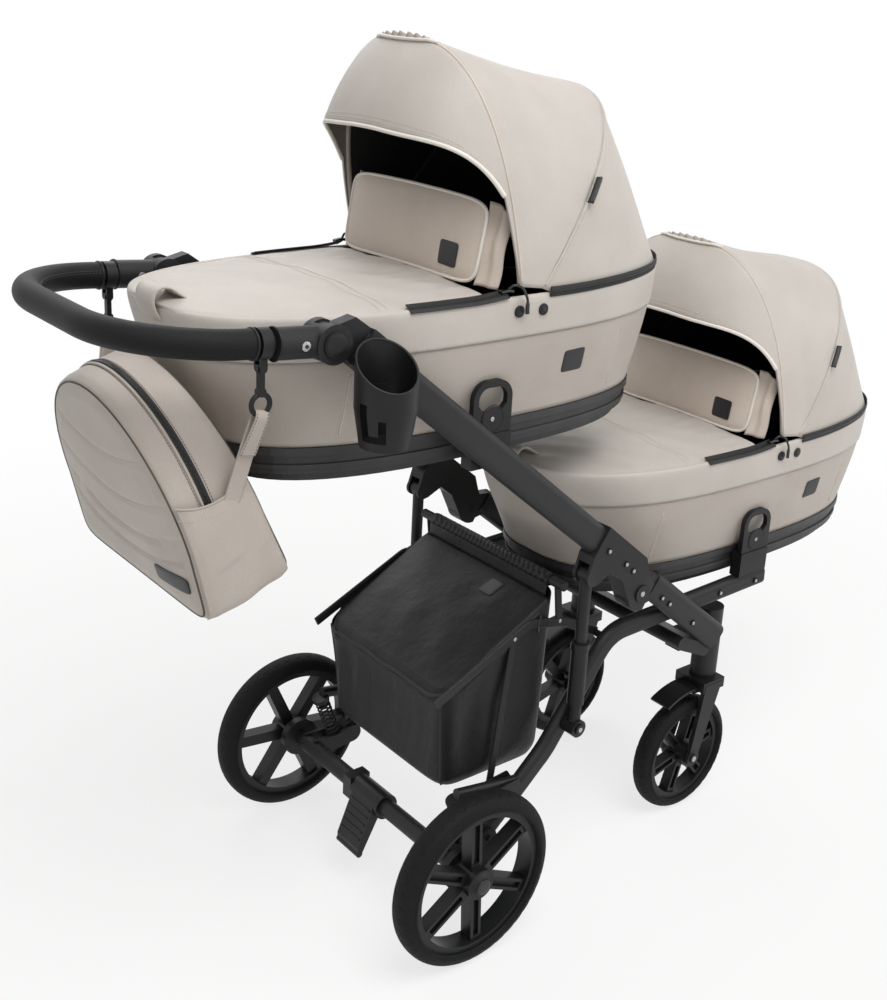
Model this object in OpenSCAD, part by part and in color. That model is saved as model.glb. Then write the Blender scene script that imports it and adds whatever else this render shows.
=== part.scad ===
// Twin pram, two carrycots one behind the other on a folding frame. All sizes in mm.
// X runs forward, Y to the left, Z up. Drawn from the rear axle, then shifted to mid wheelbase.

/* [Wheels] */
// rear wheel radius over the tyre
rear_r = 145; // [138:1:152]
// rear tyre width
rear_tw = 50; // [42:1:54]
// front wheel radius over the tyre
front_r = 111; // [104:1:116]
// front tyre width
front_tw = 42; // [36:1:46]
// half distance between the front wheels
front_hy = 159; // [150:1:165]
// distance from rear axle to front axle
wheelbase = 590; // [575:1:600]
// swivel axis ahead of the front axle
trail = 42; // [34:1:48]
// wheel axle pin radius
pin_r = 6; // [5:0.5:7]

/* [Frame] */
// slope of the long side tube, in degrees
tube_ang = 38.8; // [38:0.1:39.6]
// side tube height
tube_h = 48; // [44:1:50]
// side tube thickness
tube_t = 25; // [22:1:26]
// seat rail height
rail_h = 36; // [30:1:38]
// seat rail thickness
rail_t = 22; // [18:1:23]
// height of the seat rail axis at the bend
rail_z = 440; // [434:1:446]
// fold knuckle radius
knuckle_r = 30; // [27:1:32]
// strut sleeve radius
strut_r = 14; // [12.5:0.5:14.5]
// strut rod radius
rod_r = 10; // [8:0.5:10.5]

/* [Handle] */
// handlebar tube radius
bar_r = 14; // [12:0.5:15]
// grip radius
grip_r = 19; // [17:0.5:20]
// reach of the handlebar behind its knuckle
bar_reach = 256; // [250:1:265]
// corner radius of the handlebar
bar_corner = 145; // [130:1:147]
// rise of the handlebar, in degrees
bar_rise = 4.5; // [3.5:0.1:6]

/* [Cots] */
// half width of the cot rim
cot_hw = 206; // [200:1:212]
// foot end of the rim
cot_foot = -395; // [-400:1:-385]
// head end of the rim
cot_head = 470; // [464:1:478]
// height of the upper pan's underside
cot_z = 800; // [796:1:806]
// height of the rim over the pan's underside
cot_h = 240; // [232:1:246]
// height of the plastic pan
pan_h = 55; // [48:1:58]
// lower cot forward of the upper one
cot_dx = 645; // [640:1:655]
// lower cot below the upper one
cot_dz = 333; // [328:1:336]
// thickness of the cot's padded wall
wall = 7; // [5:0.5:9]

/* [Hood] */
// height of each hood bow over its pivot
bow_r = 363; // [352:1:372]
// half width of the hood bows
bow_hw = 205; // [200:1:206]
// lean of the front bow, in degrees from the head side
bow_a1 = 101.6; // [98:0.2:104]
// lean of the rear bow, in degrees from the head side
bow_a2 = 54.5; // [52:0.5:57]
// reach of the visor in degrees past the front bow
visor_a = 18.7; // [17:0.1:20]
// thickness of the hood cloth with its lining
hood_t = 5; // [4:0.5:6]

/* [Basket and bag] */
// room between the basket and each rail
basket_side = 16; // [15:1:24]
// height of the basket floor
basket_z = 230; // [226:1:242]
// bag half width
bag_hw = 186; // [172:1:188]
// bag height
bag_h = 307; // [285:1:315]
// bag depth
bag_d = 133; // [118:1:138]

/* [Springs] */
// curls in each axle spring
spring_n = 9; // [7:1:10]
// mean radius of the curls
spring_r = 11.5; // [10:0.5:12.5]
// wire radius
wire_r = 1.7; // [1.4:0.1:1.9]

/* [Fits] */
// radial clearance of turning fits
run_gap = 0.05; // [0.02:0.01:0.08]
// gap between pieces that move past each other
part_gap = 0.4; // [0.3:0.05:0.5]
// gap between pieces that sit on each other
seat_gap = 0.15; // [0.1:0.05:0.2]

/* [Hidden] */
$fn = 64;
dark = [0.17,0.17,0.18];
black = [0.08,0.08,0.08];
cloth = [0.78,0.74,0.69];
taupe = [0.62,0.57,0.53];
steel = [0.6,0.6,0.62];

// widths that follow the cot
tube_y = cot_hw + 11;
rail_y = tube_y - 27;
lip_hw = cot_hw - 26;
rear_hy = tube_y + 19 + rear_tw/2;
tube_in = tube_y - tube_t/2;
tube_out = tube_y + tube_t/2;
rail_in = rail_y - rail_t/2;
rail_out = rail_y + rail_t/2;
bar_y = tube_y - 6;
basket_hw = rail_in - basket_side;

// points on the frame, X and Z
P0 = [255, 636];
HK = [146.7, -24.5];
BK = [22.8, -52.3];
KK = [-645, -22];

TP = [80, 152];
rail_end = cot_dx + 77;
rail_pts = [TP, [205, 264], [333, rail_z], [rail_end, rail_z + 13]];
rail_rad = [0, 150, 70];
function to_x(s, n) = P0[0] + s*cos(tube_ang) + n*sin(tube_ang);
function to_z(s, n) = P0[1] - s*sin(tube_ang) + n*cos(tube_ang);
SB = [to_x(BK[0], BK[1]), 310];
KX = to_x(KK[0], KK[1]);
KZ = to_z(KK[0], KK[1]);
sw_x = wheelbase + trail;
sw_y = front_hy;
hang_u = 90;
hang_x = KX - hang_u*cos(bar_rise);
hang_z = KZ + hang_u*sin(bar_rise) - grip_r - 12;

// cot outline values
cot_p = 2.8;
cot_xc = (cot_foot + cot_head)/2;
cot_a = (cot_head - cot_foot)/2;
rim = cot_z + cot_h;
piv1 = [66, rim - 18];
piv2 = [112, rim - 20];
bow1 = [78, rim - 20];
bow2 = [92, rim - 20];
bow_p = 2.7;
function stud_y(x) = cot_hw + 0.9 - 0.0203*(x - piv1[0]);
flap_x = 20;
flap_h = 118;
crown = 10;
ap_t = 6;
function sup(c, p) = sign(c)*pow(abs(c), 2/p);
function unit(v) = v/norm(v);
function loop(x0, x1, hw, z, p, n) = [for (i = [0:n-1]) let (a = 360*i/n)
  [(x0+x1)/2 + (x1-x0)/2*sup(cos(a), p), hw*sup(sin(a), p), z]];
function rim_hw(x) = cot_hw*pow(1 - pow(min(1, abs((x - cot_xc)/cot_a)), cot_p), 1/cot_p);

module org() translate([-wheelbase/2, 0, 0]) children();
module both() { children(); mirror([0,1,0]) children(); }
module lower() translate([cot_dx, 0, -cot_dz]) children();
module in_tube() translate([P0[0], 0, P0[1]]) rotate([0, tube_ang, 0]) children();
module ycyl(x, z, r, y0, y1) translate([x, y0, z]) rotate([-90,0,0]) cylinder(r = r, h = y1 - y0);
module slab(pts, y0, y1) translate([0, y1, 0]) rotate([90,0,0]) linear_extrude(y1 - y0) polygon(pts);
module box(x0, x1, y0, y1, z0, z1) translate([x0, y0, z0]) cube([x1-x0, y1-y0, z1-z0]);

// flat oval tube section, h across and t thick
module sec(h, t) {
  if (h - t > 0.01) square([h - t, t], center = true);
  translate([(h-t)/2, 0]) circle(d = t);
  translate([-(h-t)/2, 0]) circle(d = t);
}
module flat_tube(a, b, y, h, t) {
  d = b - a;
  translate([a[0], y, a[1]]) rotate([0, -atan2(d[1], d[0]), 0]) rotate([0,90,0])
    linear_extrude(norm(d)) sec(h, t);
}
function turn(p, q, r) = acos(unit(q-p)*unit(r-q));
function tang(p, q, r, R) = R*tan(turn(p, q, r)/2);
module elbow(p, q, r, R, y, h, t) {
  u = unit(q-p);
  v = unit(r-q);
  s = sign(u[0]*v[1] - u[1]*v[0]);
  ang = acos(u*v);
  nrm = [-u[1], u[0]]*s;
  c = q - u*R*tan(ang/2) + nrm*R;
  a0 = atan2(-nrm[1], -nrm[0]);
  translate([c[0], y, c[1]]) rotate([90,0,0]) rotate([0,0, s > 0 ? a0 : a0 - ang])
    rotate_extrude(angle = ang) translate([R, 0]) sec(h + 0.3, t + 0.3);
}
module bent(P, R, y, h, t) {
  n = len(P);
  for (i = [0:n-2]) {
    d = unit(P[i+1] - P[i]);
    a = i == 0 ? P[0] : P[i] + d*(tang(P[i-1], P[i], P[i+1], R[i]) - 1.5);
    b = i == n-2 ? P[n-1] : P[i+1] - d*(tang(P[i], P[i+1], P[i+2], R[i+1]) - 1.5);
    flat_tube(a, b, y, h, t);
  }
  for (i = [1:n-2]) elbow(P[i-1], P[i], P[i+1], R[i], y, h, t);
}

// closed solid through a row of loops, capped at both ends or joined into a ring
module skin(L, ring = false) {
  m = len(L);
  n = len(L[0]);
  mid = [for (l = [L[0], L[m-1]]) let (q = [for (p = l) 1]*l) q/n];
  pts = concat([for (l = L) for (p = l) p], mid);
  rows = ring ? m : m - 1;
  side = [for (i = [0:rows-1]) for (j = [0:n-1])
    let (a = i*n + j, b = i*n + (j+1)%n, c = ((i+1)%m)*n + (j+1)%n, d = ((i+1)%m)*n + j)
    each [[a, c, b], [a, d, c]]];
  caps = ring ? [] : concat([for (j = [0:n-1]) [j, (j+1)%n, m*n]],
    [for (j = [0:n-1]) [(m-1)*n + (j+1)%n, (m-1)*n + j, m*n + 1]]);
  polyhedron(ring ? [for (l = L) for (p = l) p] : pts, concat(side, caps));
}
// thin solid between two grids of the same size, A outside and B inside
module sheet(A, B) {
  m = len(A);
  n = len(A[0]);
  k = m*n;
  pts = concat([for (r = A) for (p = r) p], [for (r = B) for (p = r) p]);
  top = [for (i = [0:m-2]) for (j = [0:n-2]) let (a = i*n + j)
    each [[a, a+1, a+n+1], [a, a+n+1, a+n]]];
  bot = [for (f = top) [f[2]+k, f[1]+k, f[0]+k]];
  e1 = [for (j = [0:n-2]) each [[j+1, j, k+j], [j+1, k+j, k+j+1]]];
  e2 = [for (j = [0:n-2]) let (a = (m-1)*n + j) each [[a, a+1, a+1+k], [a, a+1+k, a+k]]];
  e3 = [for (i = [0:m-2]) let (a = i*n) each [[a, a+n, a+n+k], [a, a+n+k, a+k]]];
  e4 = [for (i = [0:m-2]) let (a = i*n + n-1) each [[a+n, a, a+k], [a+n, a+k, a+n+k]]];
  polyhedron(pts, concat(top, bot, e1, e2, e3, e4));
}

// frame
module rail() difference() {
  union() {
    bent(rail_pts, rail_rad, rail_y, rail_h, rail_t);
    ycyl(TP[0], TP[1], 20, rail_in + 0.7, rail_out - 0.7);
  }
  ycyl(TP[0], TP[1], 5 + run_gap, rail_in - 1, rail_out + 1);
}
module side_rail_left() color(dark) org() rail();
module side_rail_right() color(dark) org() mirror([0,1,0]) rail();
module ftube() in_tube() difference() {
  union() {
    flat_tube([174, 0], [412, 0], tube_y, tube_h, tube_t);
    ycyl(HK[0], HK[1], knuckle_r, tube_y - 10, tube_y + 10);
    slab([[150, 4], [176, 22], [186, -22], [168, -44]], tube_y - 10, tube_y + 10);
  }
  ycyl(HK[0], HK[1], 8 + seat_gap, tube_y - 20, tube_y + 20);
}
module front_tube_left() color(dark) org() ftube();
module front_tube_right() color(dark) org() mirror([0,1,0]) ftube();

// cross beam with the two swivel housings
fb = [to_x(378, -tube_h/2 - 13), to_z(378, -tube_h/2 - 13)];
sw_top = fb[1] + 30;
sw_bot = 268;
module front_beam() color(dark) org() difference() {
  union() {
    translate([fb[0], tube_y, fb[1]]) rotate([0, tube_ang - 14, 0]) rotate([90,0,0])
      linear_extrude(2*tube_y) sec(92, 24);
    both() {
      translate([sw_x, sw_y, sw_bot]) cylinder(r = 24, h = sw_top - sw_bot);
      box(fb[0] + 10, sw_x, sw_y - 16, sw_y + 16, fb[1] - 30, fb[1] + 2);
    }
  }
  both() translate([sw_x, sw_y, sw_bot - 1]) cylinder(r = 9 + run_gap, h = 72);
  both() in_tube() flat_tube([300, 0], [430, 0], tube_y, tube_h + 2*seat_gap, tube_t + 2*seat_gap);
}
module front_fork() {
  translate([sw_x, 0, sw_bot - part_gap - 30]) cylinder(r = 24, h = 30);
  translate([sw_x, 0, sw_bot - 8]) cylinder(r = 9, h = 70);
  w = front_tw/2 + 5;
  difference() {
    box(sw_x - 34, sw_x + 22, -w - 8.3, w + 8.3, 242, 262);
    ycyl(wheelbase, front_r, front_r + 8, -60, 60);
  }
  both() {
    slab([[sw_x - 28, 256.5], [sw_x + 16, 256.5], [wheelbase + 11.5, front_r - 1], [wheelbase - 11.5, front_r - 1]],
      w, w + 9);
    ycyl(wheelbase, front_r, 15, w + 0.4, w + 9.6);
    ycyl(wheelbase, front_r, 9, w + 6, w + 12.4);
  }
  ycyl(wheelbase, front_r, pin_r, -w - 4, w + 4);
  translate([wheelbase, 0, front_r]) rotate([90,0,0]) rotate([0,0,62]) rotate_extrude(angle = 58)
    translate([front_r + 24, -w + 4]) square([5, 2*w - 8]);
  box(sw_x - 44, sw_x - 20, -w + 5.5, w - 5.5, 239, 251);
}
module front_fork_left() color(dark) org() translate([0, sw_y, 0]) front_fork();
module front_fork_right() color(dark) org() translate([0, -sw_y, 0]) front_fork();

// wheels, drawn about the Y axis at the origin
module tyre(R, w, d) rotate([90,0,0]) rotate_extrude($fn = 96) difference() {
  union() {
    translate([R - w*0.42, 0]) circle(r = w*0.42);
    translate([R - d, -w*0.36]) square([d - w*0.4, w*0.72]);
    translate([R - w*0.72, -w/2 + w*0.1]) square([w*0.34, w*0.8]);
    translate([R - w*0.55, w*0.3]) circle(r = w*0.2);
    translate([R - w*0.55, -w*0.3]) circle(r = w*0.2);
  }
  translate([0, -w]) square([R - d, 2*w]);
}
module wheel_rim(R, w, d, hub_r, hub_w, cap, deep, turn) {
  ro = R - d - seat_gap;
  difference() {
    union() {
      rotate([90,0,0]) rotate_extrude($fn = 96) {
        translate([ro - 13, -w*0.33]) square([5, w*0.66]);
        translate([ro - 13, -w*0.33]) square([13, 5]);
        translate([ro - 13, w*0.33 - 5]) square([13, 5]);
      }
      rotate([90,0,0]) cylinder(r = hub_r, h = hub_w, center = true);
      if (cap > 0) translate([0, hub_w/2 + cap, 0]) rotate([90,0,0]) cylinder(r1 = hub_r*0.6, r2 = hub_r*0.92, h = cap + 1);
      for (k = [0:5]) rotate([0, 60*k + turn, 0]) difference() {
        slab([[-hub_r*0.43, 0], [hub_r*0.43, 0], [10, ro - 10], [-10, ro - 10]], -w*0.24, w*0.24);
        slab([[-5, hub_r + 8], [5, hub_r + 8], [5, ro - 20], [-5, ro - 20]], w*0.24 - 6, w*0.3);
      }
    }
    translate([0, hub_w/2 - 4 + deep, 0]) rotate([90,0,0]) cylinder(r = pin_r + run_gap, h = hub_w + 10 + deep);
  }
}
rear_d = 22;
front_d = 18;
module at_rear() translate([0, rear_hy, rear_r]) children();
module rear_tyre_left() color(black) org() at_rear() tyre(rear_r, rear_tw, rear_d);
module rear_tyre_right() color(black) org() mirror([0,1,0]) at_rear() tyre(rear_r, rear_tw, rear_d);
module rear_rim_left() color(black) org() at_rear() wheel_rim(rear_r, rear_tw, rear_d, 25, 46, 6, 0, 36);
module rear_rim_right() color(black) org() mirror([0,1,0]) at_rear()
  wheel_rim(rear_r, rear_tw, rear_d, 25, 46, 6, 0, -3);
module at_front() translate([wheelbase, front_hy, front_r]) children();
module front_tyre_left() color(black) org() at_front() tyre(front_r, front_tw, front_d);
module front_tyre_right() color(black) org() mirror([0,1,0]) at_front() tyre(front_r, front_tw, front_d);
module frim() wheel_rim(front_r, front_tw, front_d, 20, front_tw + 8, 0, 20, 17);
module front_rim_left() color(black) org() at_front() frim();
module front_rim_right() color(black) org() mirror([0,1,0]) at_front() frim();

// rear axle on its two swing arms
arm_t = 6;
arm_y0 = rail_in - part_gap - arm_t;
arm_y1 = rail_out + part_gap;
sp_a = [46, 163];
sp_b = [20, 231];
module rear_axle() color(dark) org() {
  ycyl(0, rear_r, 15, -arm_y1 - arm_t, arm_y1 + arm_t);
  ycyl(0, rear_r, pin_r, -rear_hy - 18, rear_hy + 18);
  both() ycyl(0, rear_r, 34, rear_hy - 37, rear_hy - 23 - part_gap);
  both() ycyl(0, rear_r, 12, arm_y1, rear_hy - 36);
  both() {
    for (y = [arm_y0, arm_y1]) {
      slab([[-4, rear_r - 18], [TP[0], TP[1] - 16], [TP[0], TP[1] + 16], [sp_a[0], sp_a[1] - 2],
        [-4, rear_r + 18]], y, y + arm_t);
      ycyl(TP[0], TP[1], 16, y, y + arm_t);
    }
    ycyl(TP[0], TP[1], 5, arm_y0, arm_y1 + arm_t + 4);
    translate([sp_a[0], rail_y, sp_a[1]]) rotate([0, atan2(sp_b[0]-sp_a[0], sp_b[1]-sp_a[1]), 0])
      translate([0, 0, -6]) cylinder(r = 14, h = 6);
    box(sp_a[0] - 11, sp_a[0] + 11, arm_y0 + 1, arm_y1 + 1, sp_a[1] - 20, sp_a[1] - 7);
  }
}
module axle_brackets() color(black) org() both() {
  difference() {
    union() {
      translate([sp_b[0], rail_y, sp_b[1]]) rotate([0, atan2(sp_b[0]-sp_a[0], sp_b[1]-sp_a[1]), 0]) {
        cylinder(r = 15, h = 8);
        translate([0, 0, -14]) cylinder(r = spring_r - wire_r - 1, h = 14);
      }
      flat_tube(sp_b + [0, 15], [146, 226], rail_y, 12, 16);
      slab([[100, 176], [150, 222], [138, 240], [96, 236], [86, 196]], rail_out + seat_gap, rail_out + 4);
      slab([[100, 176], [150, 222], [138, 240], [96, 236], [86, 196]], rail_in - 4, rail_in - seat_gap);
      box(92, 104, rail_in - 4, rail_out + 4, 200, 236);
    }
    bent(rail_pts, rail_rad, rail_y, rail_h + 2*seat_gap, rail_t + 2*seat_gap);
  }
}
// coil springs, one unbroken wire each
sp_len = norm(sp_b - sp_a);
sp_pitch = (sp_len - 2*wire_r - 2*seat_gap)/spring_n;
echo(spring_wire_gap = sp_pitch - 2*wire_r);
module coil() skin([for (i = [0:8*spring_n]) let (a = 45*i, z = wire_r + seat_gap + sp_pitch*i/8)
  [for (j = [0:5]) let (b = -60*j, r = spring_r + wire_r*cos(b))
    [r*cos(a), r*sin(a), z + wire_r*sin(b)]]]);
module axle_springs() color(steel) org() both()
  translate([sp_a[0], rail_y, sp_a[1]])
    rotate([0, atan2(sp_b[0]-sp_a[0], sp_b[1]-sp_a[1]), 0]) coil();
module brake_pedal() color(black) org() difference() {
  union() {
    ycyl(0, rear_r, 22, -38, 38);
    slab([[-6, rear_r + 20], [-20, rear_r + 8], [-50, 78], [-50, 64], [-42, 64], [-8, rear_r - 16]], -30, 30);
    ycyl(-46, 66, 6, -30, 30);
    box(-20, 20, 38, 60, rear_r - 20, rear_r + 20);
  }
  ycyl(0, rear_r, 15 + run_gap, -100, 100);
}

// telescopic struts
collar_z = 463;
module strut_sleeves() color(black) org() both() difference() {
  union() {
    translate([SB[0], tube_y, 352]) cylinder(r = strut_r, h = collar_z - 352);
    translate([SB[0], tube_y, 322]) cylinder(r = strut_r - 3, h = 40);
    translate([SB[0], tube_y, collar_z - 12]) cylinder(r = strut_r + 1.5, h = 12);
    ycyl(SB[0], SB[1], 15, tube_y - strut_r, tube_y + strut_r);
  }
  translate([SB[0], tube_y, 336]) cylinder(r = rod_r + run_gap, h = 200);
  ycyl(SB[0], SB[1], 5 + run_gap, tube_y - 30, tube_y + 30);
}
eye_z = to_z(BK[0], BK[1]);
module strut_rods() color(steel) org() both() {
  translate([SB[0], tube_y, 446]) cylinder(r = rod_r, h = eye_z - 446);
  ycyl(SB[0], eye_z, 12, tube_y - 9, tube_y + 9);
}
module fold_pins() color(steel) org() both() {
  in_tube() {
    ycyl(HK[0], HK[1], 8, tube_y - 17, tube_y + 17);
    ycyl(HK[0], HK[1], 15, tube_y + 17 + part_gap, tube_y + 20);
    ycyl(HK[0], HK[1], 8, tube_y + 16, tube_y + 18);
  }
  ycyl(SB[0], SB[1], 5, rail_out + seat_gap, tube_y + strut_r + 2);
  ycyl(SB[0], SB[1], 9, tube_y + strut_r + part_gap, tube_y + strut_r + 4);
}
module head(s, n, y) ycyl(s, n, 5.5, y + seat_gap, y + 2.5);
module frame_rivets() color(steel) org() both() {
  in_tube() for (s = [207, 233, 318]) head(s, -8, tube_out);
  for (x = [cot_dx - 45, cot_dx + 51]) head(x, rail_z + 9, rail_out);
  ycyl(to_x(318, -8), to_z(318, -8), 6, rail_out + seat_gap, tube_in - seat_gap);
}

// upper frame
module utube() in_tube() flat_tube([-604, 0], [100, 0], tube_y, tube_h, tube_t);
module upper_tube_left() color(dark) org() utube();
module upper_tube_right() color(dark) org() mirror([0,1,0]) utube();
module fold_brackets() color(dark) org() both() in_tube() difference() {
  union() {
    slab([[-6, 27], [112, 27], [140, 8], [160, -2], [150, -54], [128, -48], [86, -28], [52, -28], [38, -58],
      [24, -67], [10, -58], [-2, -27]], tube_y - 17, tube_y + 17);
    ycyl(HK[0], HK[1], knuckle_r, tube_y - 17, tube_y + 17);
    ycyl(BK[0], BK[1], 15, tube_y - 17, tube_y + 17);
    for (p = [[21, -4], [74, -3], [98, -4]]) ycyl(p[0], p[1], 5.5, tube_y + 16, tube_y + 19);
  }
  flat_tube([-40, 0], [100 + seat_gap, 0], tube_y, tube_h + 2*seat_gap, tube_t + 2*seat_gap);
  ycyl(HK[0], HK[1], knuckle_r + 1, tube_y - 10 - part_gap, tube_y + 10 + part_gap);
  slab([[146, 10], [110, 40], [260, 40], [220, -90], [150, -60]], tube_y - 10 - part_gap, tube_y + 10 + part_gap);
  slab([[158, 40], [164, -4], [172, -60], [240, -60], [240, 40]], tube_y - 20, tube_y + 20);
  ycyl(HK[0], HK[1], 8 + run_gap, tube_y - 30, tube_y + 30);
  ycyl(BK[0], BK[1], 24, tube_y - 11.5, tube_y + 11.5);
}
ad_x = 34;
ad_z = cot_z + 46;
module socket(z0) difference() {
  box(ad_x - 36, ad_x + 36, lip_hw + 2, tube_in - seat_gap, z0, ad_z);
  box(ad_x - 20, ad_x + 20, lip_hw + 6, tube_in - 6, z0 + 14, ad_z + 1);
}
function rail_top(x) = rail_z + (x - 333)*13/(rail_end - 333) + rail_h/2 + 0.1 + seat_gap;
module upper_adapters() color(black) org() both() socket(cot_z - 4);
module front_adapters() color(black) org() both() difference() {
  lower() socket(rail_z + cot_dz + 15);
  slab([[cot_dx - 85, rail_top(cot_dx - 85)], [cot_dx + 175, rail_top(cot_dx + 175)], [cot_dx + 175, 300], [cot_dx - 85, 300]], 100, 300);
}
module handle_hubs() color(dark) org() both() in_tube() difference() {
  union() {
    ycyl(KK[0], KK[1], 23, tube_y - 10, tube_y + 10);
    ycyl(KK[0], KK[1], 7, tube_y - 19, tube_y + 19);
    slab([[KK[0] - 8, KK[1] + 20], [KK[0] + 12, 24], [-598, 26], [-560, 26], [-560, -26], [-610, -26],
      [KK[0] + 10, KK[1] - 18]], tube_y - 10, tube_y + 10);
    slab([[-600, 27], [-566, 27], [-566, -27], [-600, -27]], tube_y - tube_t/2 - 3, tube_y + tube_t/2 + 3);
  }
  flat_tube([-604 - seat_gap, 0], [-500, 0], tube_y, tube_h + 2*seat_gap, tube_t + 2*seat_gap);
}
cup_r = 36;
cup = [KX + 50, -(tube_out + 9 + cup_r + 4.5)];
cup_z = KZ - 127;
// tapered cup with a slanting mouth; the bore that holds a bottle is its middle part
module cup_holder() color(black) org() {
  translate([cup[0], cup[1], cup_z]) difference() {
    union() {
      cylinder(r1 = cup_r - 3.5, r2 = cup_r + 4.5, h = 50);
      translate([0, 0, 49.9]) cylinder(r = cup_r + 4.5, h = 92);
    }
    translate([0, 0, 4]) cylinder(r1 = cup_r - 6.5, r2 = cup_r, h = 41.1);
    translate([0, 0, 45]) cylinder(r = cup_r, h = 26);
    translate([0, 0, 70]) cylinder(r = cup_r + 1.4, h = 80);
    translate([0, 0, 103]) rotate([32.2, -6.6, 0]) translate([-100, -100, 0]) cube([200, 200, 200]);
    rotate([0, 0, 190]) translate([20, -6, 12]) cube([40, 12, 50]);
    rotate([0, 0, 228]) translate([20, -5, 12]) cube([40, 10, 31]);
    rotate([0, 0, 209]) translate([20, -16, 12.2]) cube([40, 32, 9.6]);
  }
  difference() {
    box(cup[0] + 6, cup[0] + 46, cup[1] + cup_r - 2, -tube_out - seat_gap, cup_z + 60, cup_z + 98);
    translate([cup[0], cup[1], cup_z]) cylinder(r = cup_r + 3, h = 200);
    mirror([0,1,0]) in_tube() slab([[-603, 30], [-563, 30], [-563, -30], [-603, -30]], tube_y - 30, tube_out + 3 + seat_gap);
  }
}

// handlebar, drawn along minus X from its knuckle
module at_bar() translate([KX, 0, KZ]) rotate([0, bar_rise, 0]) children();
module ubar(r, u0) {
  e = bar_reach - bar_corner;
  both() {
    translate([-e, bar_y, 0]) rotate([0,90,0]) cylinder(r = r, h = e - u0);
    translate([-e, bar_y - bar_corner, 0]) rotate([0,0,90]) rotate_extrude(angle = 90)
      translate([bar_corner, 0]) circle(r = r);
  }
  translate([-bar_reach, -bar_y + bar_corner, 0]) rotate([-90,0,0])
    cylinder(r = r, h = 2*(bar_y - bar_corner));
}
module handlebar() color(dark) org() at_bar() ubar(bar_r, 40);
module grip() color(black) org() at_bar() difference() {
  ubar(grip_r, hang_u + 12);
  ubar(bar_r + seat_gap, 0);
}
module handle_joints() color(dark) org() at_bar() both() difference() {
  union() {
    ycyl(0, 0, 26, tube_y - 22, tube_y + 22);
    translate([-76, tube_y, 0]) rotate([0,90,0]) cylinder(r = 20.5, h = 76);
    ycyl(0, 0, 17, tube_y + 21, tube_y + 25);
  }
  translate([-80, bar_y, 0]) rotate([0,90,0]) cylinder(r = bar_r + seat_gap, h = 50);
  ycyl(0, 0, 24, tube_y - 10 - part_gap, tube_y + 10 + part_gap);
  slab([[-30, 40], [-12, 21.5], [-12, -21.5], [-30, -40], [60, -40], [60, 40]], tube_y - 10 - part_gap, tube_y + 10 + part_gap);
  ycyl(0, 0, 7 + run_gap, tube_y - 20, tube_y + 20);
}
module hanger_bands() color(black) org() both() {
  at_bar() difference() {
    translate([-hang_u - 8, bar_y, 0]) rotate([0,90,0]) cylinder(r = grip_r + 1, h = 16);
    translate([-200, bar_y, 0]) rotate([0,90,0]) cylinder(r = bar_r + seat_gap, h = 300);
  }
  for (y = [bar_y - 8, bar_y + 5]) {
    box(hang_x - 5, hang_x + 5, y, y + 3, hang_z, hang_z + 14);
    ycyl(hang_x, hang_z, 5, y, y + 3);
  }
  ycyl(hang_x, hang_z, 2.5, bar_y - 8, bar_y + 8);
}
hook_z = hang_z - 46;
module snap_hooks() color(black) org() both() difference() {
  union() {
    ycyl(hang_x, hang_z, 6.5, bar_y - 4.5, bar_y + 4.5);
    box(hang_x - 3.5, hang_x + 3.5, bar_y - 4.5, bar_y + 4.5, hook_z + 16, hang_z - 3);
    translate([hang_x, bar_y, hook_z]) rotate([90,0,0]) rotate_extrude() translate([13, 0]) circle(r = 3.4);
    ycyl(hang_x, hook_z + 16, 6, bar_y - 4.5, bar_y + 4.5);
  }
  ycyl(hang_x, hang_z, 2.5 + run_gap, bar_y - 20, bar_y + 20);
}

// bag, hanging with its foot swung toward the frame
bag_tilt = 19.5;
bag_x = hang_x - 95;
bag_top = hang_z - 36;
module at_bag() translate([bag_x, 0, bag_top]) rotate([0, -bag_tilt, 0]) children();
function bag_loop(f, e) = [for (i = [0:31]) let (a = 360*i/32, q = a > 180 ? 12 : 2, c = sup(cos(a), q), s = sup(sin(a), q))
  [f*bag_d/2*(0.85 - 0.15*s), (bag_hw - e)*c, -0.65*bag_h + ((s > 0 ? 0.65 : 0.35)*bag_h - e)*s]];
module bag() color(cloth) org() at_bag()
  skin([for (q = [[1, 9], [0.96, 4], [0.75, 1], [0, 0], [-0.75, 1], [-0.96, 4], [-1, 9]]) bag_loop(q[0], q[1])]);
module bag_straps() color(cloth) org() both() {
  a = [hang_x, bar_y, hook_z - 16];
  b = [bag_x + 0.214*bag_h, 0.984*bag_hw + 1.5, bag_top - 0.486*bag_h];
  d = b - a;
  difference() {
    union() {
      translate(a) rotate([asin(-d[1]/norm(d)), atan2(d[0], d[2]), 0])
        translate([-9, -2, 0]) cube([18, 4, norm(d)]);
      box(hang_x - 10, hang_x + 10, bar_y - 6, bar_y + 6, hook_z - 23, hook_z - 7);
    }
    translate([hang_x, bar_y, hook_z]) rotate([90,0,0]) rotate_extrude() translate([13, 0]) circle(r = 3.8);
  }
}

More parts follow.
